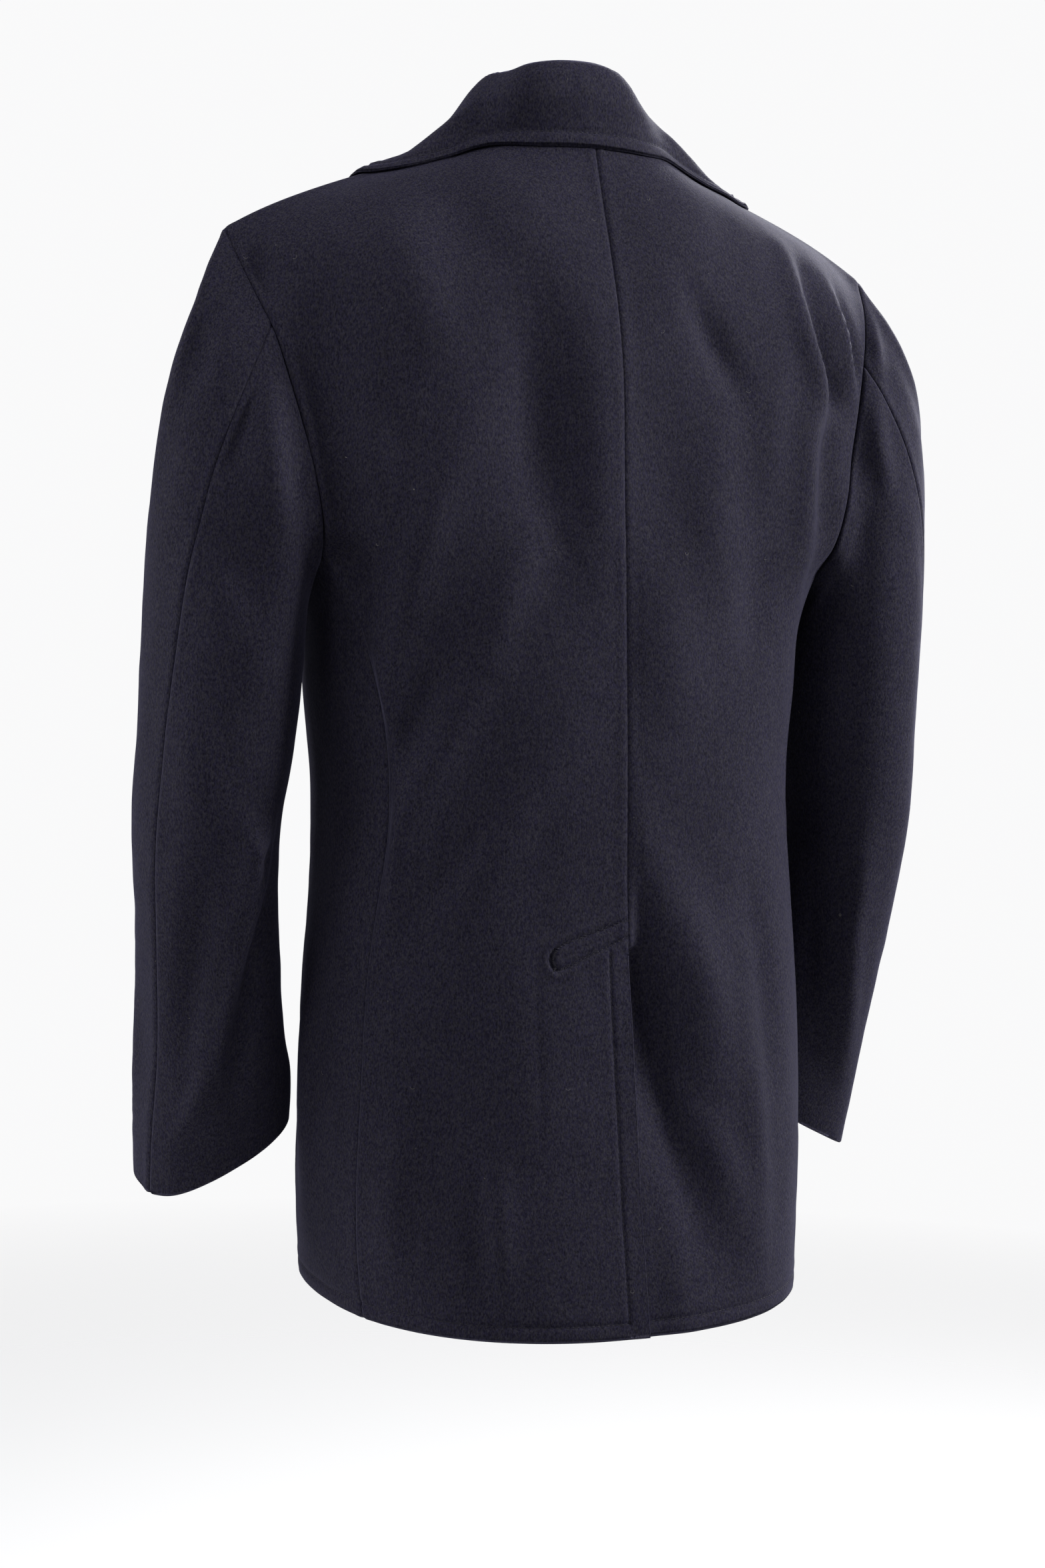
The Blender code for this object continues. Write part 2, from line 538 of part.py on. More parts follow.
class Piece:
    """Grid of outer points with an inward vector at each, which makes one wall."""

    def __init__(self, name, outer, facing, thick=CLOTH):
        self.name = name
        self.outer = np.array(outer, float)
        self.thick = thick
        self.facing = facing
        self.normal = facing * grid_normals(self.outer)
        self.inward = -self.thick * self.normal
        self.shift = np.zeros_like(self.outer)

    def follow(self, row):
        """Odd columns of a row take their wall from the even ones beside them."""
        for part in (self.inward, self.shift):
            part[1::2, row] = (part[:-1:2, row] + part[2::2, row]) / 2

    def border(self):
        nu, nv = self.outer.shape[:2]
        for i in range(nu):
            for j in range(nv):
                steps = [(di, 0) for di in (1, -1) if not 0 <= i - di < nu]
                steps += [(0, dj) for dj in (1, -1) if not 0 <= j - dj < nv]
                if steps:
                    yield i, j, steps

    def build(self, colour, roughness):
        """Grid, extruded to a wall; each vertex starts as its own grid address."""
        outer = self.outer + self.shift
        layers = (outer, outer + self.inward)
        nu, nv = outer.shape[:2]
        bm = bmesh.new()
        bmesh.ops.create_grid(bm, x_segments=nu - 1, y_segments=nv - 1, size=0.5)
        for vertex in bm.verts:
            vertex.co = Vector(((vertex.co.x + 0.5) * (nu - 1), (vertex.co.y + 0.5) * (nv - 1), 0))
        extruded = bmesh.ops.extrude_face_region(bm, geom=list(bm.faces), use_keep_orig=True)
        for item in extruded["geom"]:
            if isinstance(item, bmesh.types.BMVert):
                item.co.z = 1
        for vertex in bm.verts:
            i, j, layer = (round(value) for value in vertex.co)
            vertex.co = Vector(layers[layer][i, j])
        bmesh.ops.recalc_face_normals(bm, faces=list(bm.faces))
        return finish_object(self.name, bm, colour, roughness)


def finish_object(name, bm, colour, roughness):
    mesh = bpy.data.meshes.new(name)
    bm.to_mesh(mesh)
    bm.free()
    thing = bpy.data.objects.new(name, mesh)
    bpy.context.scene.collection.objects.link(thing)
    material = bpy.data.materials.new(name + "_material")
    material.use_nodes = True
    shader = material.node_tree.nodes["Principled BSDF"]
    shader.inputs["Base Color"].default_value = (*colour, 1.0)
    shader.inputs["Roughness"].default_value = roughness
    shader.inputs["Metallic"].default_value = 0.0
    mesh.materials.append(material)
    return thing


def sew(pieces):
    """Mitre the walls where pieces share points, and leave the seam gap between them.

    Where sleeve and body close to a sharp hollow, as under the arm, each keeps its own wall.
    """
    shared = {}
    for piece in pieces:
        for i, j, steps in piece.border():
            key = tuple(np.round(piece.outer[i, j] * 20000).astype(int))
            shared.setdefault(key, []).append((piece, i, j, steps))
    for members in shared.values():
        if len({piece.name for piece, *_ in members}) < 2:
            continue
        normals = [piece.normal[i, j].copy() for piece, i, j, _ in members]
        inside = [sum(unit(piece.outer[i + di, j + dj] - piece.outer[i, j]) for di, dj in steps)
                  for piece, i, j, steps in members]
        body = np.array([not piece.name.startswith(SLEEVES) for piece, *_ in members])
        open_ = min([float(smoothstep(-0.3, 0.4, normals[a] @ normals[b]))
                     for a in np.flatnonzero(body) for b in np.flatnonzero(~body)
                     if normals[a] @ inside[b] > 0] or [1.0])
        for k, (piece, i, j, _) in enumerate(members):
            weights = np.where(body == body[k], 1.0, open_)
            mitre = unit(weights @ np.array(normals))
            square = np.mean([mitre @ normals[n] for n in np.flatnonzero(body == body[k])])
            piece.inward[i, j] = -piece.thick * mitre / max(square, 0.7)
            piece.shift[i, j] = inside[k] * SEAM_GAP / 2 - (1 - open_) * normals[k] * SEAM_GAP


def surface_tree(grids):
    """Search tree of outer faces, each given as a grid and the side that it faces."""
    points, faces = [], []
    for grid, facing in grids:
        start, (nu, nv) = len(points), grid.shape[:2]
        points += [Vector(point) for point in grid.reshape(-1, 3)]
        for i in range(nu - 1):
            for j in range(nv - 1):
                ring = [start + a * nv + b for a, b in
                        ((i, j), (i + 1, j), (i + 1, j + 1), (i, j + 1))]
                faces.append(ring if facing > 0 else ring[::-1])
    return BVHTree.FromPolygons(points, faces)


def lifted(grid, first, tree, clearance):
    """The grid with the rows from the first one on raised until its faces clear the tree."""
    out = grid.copy()
    samples = [(u, v) for u in (0.0, 0.5) for v in (0.0, 0.5)] + [(1.0, 1.0)]
    corners = ((0, 0), (1, 0), (1, 1), (0, 1))
    for _ in range(6):
        rise = np.zeros_like(out)
        for i, j in np.ndindex(grid.shape[0] - 1, grid.shape[1] - 1 - first):
            for u, v in samples:
                shares = ((1 - u) * (1 - v), u * (1 - v), u * v, (1 - u) * v)
                spot = sum(share * out[i + a, j + first + b]
                           for share, (a, b) in zip(shares, corners))
                near, normal, _, distance = tree.find_nearest(Vector(spot))
                lack = clearance - (Vector(spot) - near).dot(normal)
                if lack <= 0 or distance > LIFT_REACH:
                    continue
                for share, (a, b) in zip(shares, corners):
                    if share > 0 and lack > np.linalg.norm(rise[i + a, j + first + b]):
                        rise[i + a, j + first + b] = np.array(normal) * lack
        out += rise
    return out


def on_front(tree, plan):
    """Points of a front panel under (x, z) places, and the way out of it there."""
    spots = np.empty(plan.shape[:2] + (3,))
    for index in np.ndindex(plan.shape[:2]):
        x, z = plan[index]
        spot = tree.ray_cast(Vector((x, -1.0, z)), Vector((0.0, 1.0, 0.0)))[0]
        spots[index] = spot or tree.find_nearest(Vector((x, -0.10, z)))[0]
    normal = grid_normals(spots)
    return spots, normal * np.sign(-normal[..., 1:2])


def laid_on(tree, plan):
    """Outer points of a piece of cloth that lies on a front panel."""
    spots, normal = on_front(tree, plan)
    return lifted(spots + normal * (CLOTH + SEAM_GAP), 0, tree, CLOTH + LAY_GAP)


def lapel_plan(first=0.0):
    """Left lapel in x and z: columns from the roll line out, rows from the break up.

    first is the first row's place between the lapel's foot, 0, and its top, 1.
    """
    foot, roll_top = (np.array([roll_x(z) + LAPEL_INSET, z])
                      for z in (LAPEL_FOOT_Z, LAPEL_GORGE_Z))
    notch, tip = np.array(LAPEL_NOTCH), np.array(LAPEL_TIP)
    rise = np.linspace(first, 1.0, LAPEL_ROWS + 1)[:, None]
    roll = foot + (roll_top - foot) * rise
    start = foot + (0.012, 0.001)
    belly = start + (0.105, 0.028)
    outer = (1 - rise) ** 2 * start + 2 * rise * (1 - rise) * belly + rise**2 * tip
    share = np.linspace(0.0, 1.0, LAPEL_COLUMNS + 1)
    plan = roll[None] + (outer - roll)[None] * share[:, None, None]
    bend = np.where(share < 0.7, share / 0.7, 1.0)[:, None]
    rest = np.clip((share - 0.7) / 0.3, 0.0, 1.0)[:, None]
    top = roll_top + (notch - roll_top) * bend + (tip - notch) * rest
    plan += (top - plan[:, -1])[:, None] * (rise[:, 0] ** 3)[None, :, None]
    return plan


def right_lapel_plan():
    """Right lapel in x and z, cut off where it goes under the left front."""
    plan = lapel_plan(RIGHT_LAPEL_START) * (-1.0, 1.0)
    for j in range(plan.shape[1]):
        x, z = plan[:, j].T
        inner = min(x[0], roll_x(z[0]) - LAPEL_INSET)
        plan[:, j, 0] = inner + (x[-1] - inner) * np.linspace(0, 1, len(x))
    return plan


def sunk_front(grid, normal):
    """The right front, where the left one laps over it, lies one wall further in."""
    under = smoothstep(-0.060, -0.028, grid[..., 0] - roll_x(grid[..., 2]))
    return grid - normal * (under * (CLOTH + LAP_GAP) * (grid[..., 1] < 0.0))[..., None]


def vent_underlap(back_left):
    """Strip of the right back that lies under the left back's edge, below the vent's top."""
    rows = int(np.argmin(np.abs(back_left.outer[0, :, 2] - VENT_TOP_Z))) + 1
    place = (slice(0, VENT_COLUMNS + 1), slice(0, rows))
    strip = Piece("vent_underlap", back_left.outer[place], back_left.facing)
    strip.inward = back_left.inward[place].copy()
    strip.outer = strip.outer + strip.inward * (1 + SEAM_GAP / CLOTH)
    return strip


def button(name, tree, x, z):
    """Turned button, flat on the cloth, with a raised rim and a hollow face."""
    steps = np.linspace(-1, 1, 13) * BUTTON_RADIUS
    plan = np.stack(np.meshgrid(x + steps, z + steps, indexing="ij"), axis=-1)
    spots, normals = on_front(tree, plan)
    covered = np.hypot(*(plan - (x, z)).T) <= BUTTON_RADIUS
    centre, normal = spots[6, 6], unit(normals[covered].mean(axis=0))
    height = ((spots[covered] - centre) @ normal).max() + SEAM_GAP + BUTTON_THICK / 2
    centre = centre + normal * height
    bm = bmesh.new()
    bmesh.ops.create_cone(bm, cap_ends=True, segments=24, radius1=BUTTON_RADIUS,
                          radius2=BUTTON_RADIUS, depth=BUTTON_THICK)
    face = max(bm.faces, key=lambda item: item.calc_center_median().z)
    rims = [edge for edge in bm.edges if abs(edge.verts[0].co.z - edge.verts[1].co.z) < 1e-6]
    bmesh.ops.inset_region(bm, faces=[face], thickness=0.0035, depth=-0.0008)
    bmesh.ops.bevel(bm, geom=rims, offset=0.0008, segments=2, profile=0.5, affect="EDGES")
    turn = Vector((0, 0, 1)).rotation_difference(Vector(normal)).to_matrix().to_4x4()
    bm.transform(Matrix.Translation(Vector(centre)) @ turn)
    return finish_object(name, bm, HORN, 0.45)


def main():
    for thing in list(bpy.data.objects):
        bpy.data.objects.remove(thing, do_unlink=True)

    back, front, sleeve = back_grid(), front_grid(), sleeve_grid()
    elbow, forearm = ELBOW_SEAM_STEP, len(sleeve) - 1 - FOREARM_SEAM_STEP
    top_sleeve = sleeve[elbow:forearm + 1]
    under_sleeve = np.concatenate([sleeve[forearm:-1], sleeve[:elbow + 1]])

    sewn = []
    for side, place, sign in (("left", np.array, 1), ("right", mirrored, -1)):
        for cut, grid, facing in (("back_", back, -sign), ("front_", front, sign),
                                  ("top_sleeve_", top_sleeve, sign),
                                  ("under_sleeve_", under_sleeve, sign)):
            sewn.append(Piece(cut + side, folded(cut + side, place(grid), facing), facing))
    sew(sewn)
    for piece in sewn:
        if piece.name.startswith("front"):
            piece.follow(-1)
        if piece.name == "front_right":
            piece.outer = sunk_front(piece.outer, piece.normal)

    left_front, right_front, outside = (
        surface_tree([(piece.outer, piece.facing) for piece in sewn if piece.name in names])
        for names in (("front_left",), ("front_right",), [piece.name for piece in sewn]))

    collar = lifted(collar_grid(back, front), COLLAR_STAND_STEPS, outside,
                    LAP_GAP + COLLAR_CLOTH)
    loose = [
        Piece("collar", collar, 1, COLLAR_CLOTH),
        Piece("lapel_left", laid_on(left_front, lapel_plan()), 1),
        Piece("lapel_right", laid_on(right_front, right_lapel_plan()), -1),
    ]
    top, bottom = np.array(WELT_TOP), np.array(WELT_BOTTOM)
    for side, tree, sign in (("left", left_front, 1), ("right", right_front, -1)):
        middle = bottom + (top - bottom) * np.linspace(0, 1, 6)[:, None]
        plan = np.stack([middle + (offset, 0) for offset in (-WELT_WIDTH / 2, 0, WELT_WIDTH / 2)])
        loose.append(Piece("pocket_welt_" + side, laid_on(tree, plan * (sign, 1)), sign))
    loose.append(vent_underlap(sewn[0]))

    for piece in sewn + loose:
        piece.build(NAVY, 0.95)
    for k, z in enumerate(BUTTON_ROWS_Z):
        button("button_left_%d" % (k + 1), left_front, BUTTON_X, z)
        button("button_right_%d" % (k + 1), left_front, -BUTTON_X, z)


main()
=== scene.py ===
"""Pea coat: cloth shells, stitching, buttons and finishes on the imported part.

Metres, +Z up. The wearer faces -Y and the wearer's left is +X. Each cloth piece is a
fine grid laid through the points that its solid is made from, with creases, seams
and rolled edges pressed in, and given a wall.
"""
import math

import bmesh
import bpy
import numpy as np
from bpy.props import FloatProperty, FloatVectorProperty, PointerProperty
from mathutils import Matrix, Vector, noise
from mathutils.bvhtree import BVHTree


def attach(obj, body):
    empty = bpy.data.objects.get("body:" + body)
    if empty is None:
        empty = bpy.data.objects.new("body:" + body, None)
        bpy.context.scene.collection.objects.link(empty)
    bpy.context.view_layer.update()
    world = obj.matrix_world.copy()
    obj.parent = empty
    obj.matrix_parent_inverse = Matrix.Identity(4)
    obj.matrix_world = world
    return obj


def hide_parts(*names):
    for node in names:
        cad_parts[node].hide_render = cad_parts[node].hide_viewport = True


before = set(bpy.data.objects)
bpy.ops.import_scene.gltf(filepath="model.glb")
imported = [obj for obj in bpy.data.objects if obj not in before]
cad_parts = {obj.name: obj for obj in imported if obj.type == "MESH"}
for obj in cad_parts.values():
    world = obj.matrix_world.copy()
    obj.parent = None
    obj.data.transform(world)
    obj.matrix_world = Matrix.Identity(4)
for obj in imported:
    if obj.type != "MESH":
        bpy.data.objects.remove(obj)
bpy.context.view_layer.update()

bl_info = {
    "name": "Pea coat",
    "version": (1, 0, 0),
    "blender": (4, 5, 0),
    "location": "View3D > Sidebar > Coat",
    "description": "Builds a double-breasted wool coat in its worn form",
    "category": "Object",
}

# ---------------------------------------------------------------- sizes of the coat
MM = 0.001
CLOTH = 0.003
COLLAR_CLOTH = 0.003
SEAM_GAP = 0.0003
NECK_GAP = 0.0014
LIFT_REACH = 0.012          # cloth further off than this isn't lifted clear
LAP_GAP = 0.0016

ARMPIT_Z = -0.262
CHEST_Z = -0.285
YOKE_Z = -0.150
RING_POWER = 2.3

NECK_POINT = (0.085, 0.000, 0.012)
SHOULDER_TIP = (0.240, 0.000, -0.052)
NECK_BACK = (0.000, 0.050, 0.017)

OVERLAP_X = 0.100
BREAK_Z = -0.240
VENT_TOP_Z = -0.509
VENT_ROW_TOP_Z = VENT_TOP_Z - 0.003         # top of the stitches beside the vent's edge

BUTTON_X = 0.074
BUTTON_ROWS_Z = (-0.285, -0.400, -0.515)

# rows and columns of the solids' grids, which the fine ones are drawn through
BODY_ROWS = 14
ARMHOLE_ROWS = 5
YOKE_ROWS = 7
BACK_NECK_COLUMNS = 5
BACK_SHOULDER_COLUMNS = 8
NECK_SHARE = 0.48
FRONT_COLUMNS = 2 * BACK_SHOULDER_COLUMNS
COLLAR_FRONT_COLUMNS = 5
COLLAR_STAND_STEPS = 5
COLLAR_FALL_STEPS = 8
SLEEVE_HEAD_ROWS = 6
SLEEVE_ARM_ROWS = 9
LAPEL_ROWS, LAPEL_COLUMNS = 60, 40

# fine grids: steps for each coarse one, spacing, and the distances from an edge at which
# lines of points lie beside a seam, a stitched edge, the vent and a welt's edge
FINE_STEPS = 8
COLLAR_FINE_STEPS = 4
SPACING = 0.004
SLEEVE_SPACING = 0.003
NEAR_SEAM = (0.0, 0.0012, 0.0024, 0.0040, 0.0062, 0.0090)
NEAR_STITCH = (0.0, 0.0013, 0.0030, 0.0055, 0.0080, 0.0094, 0.0104, 0.0114, 0.0130, 0.0155,
               0.0190, 0.0230)
NEAR_VENT = (0.0, 0.0012, 0.0024, 0.0040, 0.0062, 0.0084, 0.0098, 0.0109, 0.0122, 0.0132,
             0.0140, 0.0148, 0.0160, 0.0185, 0.0220)
NEAR_WELT = (0.0, 0.0012, 0.0026, 0.0038, 0.0046, 0.0054, 0.0066)

# rows of stitches, and the grooves that seams and stitches press in: depth, half width, and
# the height, place and half width of the low pad beside it, the height as a share
EDGE_STITCH = 0.0104
VENT_STITCH = 0.0140
WELT_STITCH = 0.0046
LINE_END = 0.002            # a row of stitches ends this far from a seam,
CENTRE_END = 0.003          # the right back's one from the centre seam
LAPPED_HEM = 0.07           # the right front's hem lies under the left one up to here
SEAM_GROOVE = (0.0008, 0.0013, 0.45, 0.00416, 0.00312)
STITCH_GROOVE = (0.0008, 0.0013, 0.35, 0.0042, 0.0024)
BAND_PRESS, TACK_PRESS = 1.7, 0.7           # how hard the vent's band and tack press in
TACK_PITCH, TACK_LIFT, TACK_WIDTH = 0.0006, 0.0003, 0.0022

# the cloth's unevenness: height, size of a bump, and where in the noise it is read
UNEVENNESS = ((0.0006, 0.045, 3.0), (0.00035, 0.018, 7.0))
SHARP_CREASE = 0.0065       # narrower creases follow the cloth exactly
CREASE_FADE = 0.012         # a piece's own creases end this far from its seams

COLLAR_LAY = 0.0003
COLLAR_EDGE, COLLAR_THINS = 0.0018, 0.009   # its wall at the pressed edge, and how far in
COLLAR_SETTLES = (0.005, 0.034)             # its fall comes down between these, from the edge
COLLAR_FRONT_STITCH = 0.055                 # how far up its front ends are stitched
EVENED = 8                  # passes, and the rows over which they set in
LAPEL_ROLL = 0.004
LAPEL_ROWS_START = (0.012, 0.006)           # stitches, from the lapel's foot and its roll
LAY_GAP = 0.0004
RIGHT_SINKS = (-0.060, -0.028)              # the right front goes under, from the left's edge
VENT_UNDERLAP = 0.038
VENT_DROP = 0.0012
VENT_UNDER, VENT_UNDER_FADE = (0.006, 0.034), 0.030     # the right back goes under the left
VENT_OVER, VENT_OVER_FADE = 0.009, 0.060                # the left back's edge stands off
VENT_LIFT = (0.0006, 0.0012)                            # so far, and by this much in waves
TACK_X, TACK_Z = 0.066, (-0.535, -0.478)    # the finer part of the grid, round the vent's top,
TACK_ROW = 60                               # its width measured on this row

# ---------------------------------------------------------------- short tables
# body rings
RING_COLUMNS = ("z", "half_width", "back_y", "front_y", "middle_y")
RINGS = (
    (-0.760, 0.1690, 0.1735, -0.1290, 0.018),
    (-0.735, 0.1715, 0.1690, -0.1285, 0.018),
    (-0.690, 0.1745, 0.1600, -0.1270, 0.021),
    (-0.620, 0.1755, 0.1470, -0.1230, 0.024),
    (-0.550, 0.1745, 0.1350, -0.1200, 0.023),
    (-0.480, 0.1700, 0.1265, -0.1210, 0.021),
    (-0.410, 0.1675, 0.1230, -0.1270, 0.013),
    (-0.340, 0.1740, 0.1180, -0.1350, 0.010),
    (-0.300, 0.1775, 0.1140, -0.1400, 0.011),
    (-0.262, 0.1900, 0.1095, -0.1430, 0.012),
    (-0.245, 0.2080, 0.1070, -0.1440, 0.012),
    (-0.214, 0.2280, 0.1030, -0.1430, 0.012),
    (-0.180, 0.2280, 0.0998, -0.1410, 0.012),
    (-0.150, 0.2296, 0.0975, -0.1380, 0.012),
)
# hem: how far the edge drops from the front to the centre back
HEM_FRONT_Z = -0.747
HEM_BACK_Z = -0.758

# side seam, its bearing from the centre back in degrees
SEAM_COLUMNS = ("z", "bearing")
SIDE_SEAM = (
    (-0.760, 69.5), (-0.700, 72.0), (-0.600, 72.8), (-0.500, 72.0),
    (-0.420, 68.0), (-0.350, 69.5), (-0.300, 75.0), (-0.262, 80.0),
)

# left armhole in x, y and z, from the armpit up the back and up the front
ARMHOLE_BACK = (
    (0.1860, 0.0450, -0.262),
    (0.1905, 0.0600, -0.245),
    (0.1975, 0.0640, -0.214),
    (0.2045, 0.0575, -0.180),
    (0.2118, 0.0520, -0.152),
    (0.2205, 0.0430, -0.1195),
    (0.2285, 0.0320, -0.0975),
    (0.2350, 0.0190, -0.0765),
    SHOULDER_TIP,
)
ARMHOLE_FRONT = (
    (0.1860, 0.0450, -0.262),
    (0.1885, 0.0050, -0.260),
    (0.1900, -0.0280, -0.247),
    (0.1955, -0.0550, -0.217),
    (0.2040, -0.0680, -0.180),
    (0.2130, -0.0690, -0.150),
    (0.2235, -0.0580, -0.117),
    (0.2310, -0.0400, -0.090),
    (0.2370, -0.0170, -0.066),
    SHOULDER_TIP,
)

# left sleeve below its head: ring centre, half sizes, the slopes of its plane, how
# square it is, and the bearing of the elbow seam from the outside, in degrees
SLEEVE_COLUMNS = ("z", "x", "y", "half_width", "half_depth", "slope_x", "slope_y",
                  "power", "elbow_seam")
SLEEVE = (
    (-0.330, 0.2370, -0.0005, 0.0515, 0.0660, 0.05, 0.00, 2.0, 32.0),
    (-0.380, 0.2390, -0.0035, 0.0500, 0.0650, 0.03, 0.05, 2.0, 28.0),
    (-0.430, 0.2430, -0.0090, 0.0465, 0.0625, 0.03, 0.10, 2.1, 25.0),
    (-0.480, 0.2410, -0.0147, 0.0455, 0.0600, 0.05, 0.12, 2.1, 23.0),
    (-0.530, 0.2355, -0.0220, 0.0445, 0.0575, 0.12, 0.12, 2.2, 20.0),
    (-0.580, 0.2295, -0.0325, 0.0455, 0.0555, 0.24, 0.12, 2.3, 19.0),
    (-0.625, 0.2238, -0.0455, 0.0500, 0.0530, 0.38, 0.11, 2.5, 20.0),
    (-0.661, 0.2210, -0.0540, 0.0505, 0.0495, 0.50, 0.18, 2.6, 20.0),
)
FOREARM_SEAM = -128.0     # bearing of the inner seam
ELBOW_SEAM_STEP = 8       # armhole points counted from the armpit, up the back
FOREARM_SEAM_STEP = 3     # and up the front

# left half of the collar, its section at six stations round the neck: the station, then
# stand, stand's top, crest, fall's top, fall's middle, flare and edge, each in x, y and z
COLLAR = (
    (0.00, (0.0000, 0.0415, 0.0400), (0.0000, 0.0385, 0.0615), (0.0000, 0.0435, 0.0702),
     (0.0000, 0.0488, 0.0630), (0.0000, 0.0528, 0.0440), (0.0000, 0.0548, 0.0260),
     (0.0000, 0.0555, 0.0137)),
    (0.25, (0.0380, 0.0360, 0.0385), (0.0305, 0.0315, 0.0590), (0.0320, 0.0366, 0.0672),
     (0.0380, 0.0418, 0.0605), (0.0425, 0.0465, 0.0420), (0.0440, 0.0490, 0.0260),
     (0.0435, 0.0490, 0.0128)),
    (0.45, (0.0580, 0.0195, 0.0350), (0.0445, 0.0145, 0.0520), (0.0462, 0.0180, 0.0605),
     (0.0535, 0.0215, 0.0545), (0.0660, 0.0265, 0.0390), (0.0755, 0.0310, 0.0235),
     (0.0810, 0.0310, 0.0105)),
    (0.62, (0.0680, -0.0005, 0.0300), (0.0540, -0.0005, 0.0475), (0.0562, 0.0015, 0.0565),
     (0.0640, 0.0030, 0.0500), (0.0810, 0.0080, 0.0335), (0.1080, 0.0150, 0.0145),
     (0.1370, 0.0175, -0.0045)),
    (0.80, (0.0590, -0.0460, 0.0000), (0.0510, -0.0440, 0.0110), (0.0560, -0.0450, 0.0200),
     (0.0660, -0.0470, 0.0130), (0.0880, -0.0450, -0.0010), (0.1240, -0.0370, -0.0160),
     (0.1600, -0.0280, -0.0270)),
    (1.00, (0.0510, -0.0760, -0.0360), (0.0500, -0.0830, -0.0335), (0.0530, -0.0880, -0.0325),
     (0.0580, -0.0900, -0.0370), (0.0800, -0.0930, -0.0560), (0.1050, -0.0970, -0.0695),
     (0.1480, -0.0900, -0.0830)),
)
CREST = 3                 # the crest's place in a section, behind the base
COLLAR_LEAN = 0.008       # the worn collar leans to the wearer's left
COLLAR_TUCK = 0.004       # and its right half is pulled in
COLLAR_FULL = 0.0028      # and its crest stands fuller behind the left side of the neck,
FULL_STATION, FULL_WIDTH = 0.49, 0.06       # round this station
COLLAR_END_Z = -0.036
NECK_STATION = 0.62       # station beside the neck point

# left lapel seen from the front, in x and z: the points where its outline turns
LAPEL_FOOT_Z, LAPEL_GORGE_Z = -0.234, -0.046
LAPEL_INSET = 0.003       # from the opening edge
LAPEL_NOTCH = (0.1040, -0.0750)
LAPEL_TIP = (0.1320, -0.1030)
LAPEL_START = (0.012, 0.001)                # where its outer edge starts, from its foot,
LAPEL_BELLY = (0.105, 0.028)                # and how far it swings out
LAPEL_BEND = 0.7          # share of the top edge that runs to the notch
RIGHT_LAPEL_START = 0.68  # the right lapel's lower part would lie under the left front

WELT_TOP, WELT_BOTTOM = (0.116, -0.425), (0.128, -0.580)
WELT_WIDTH = 0.026

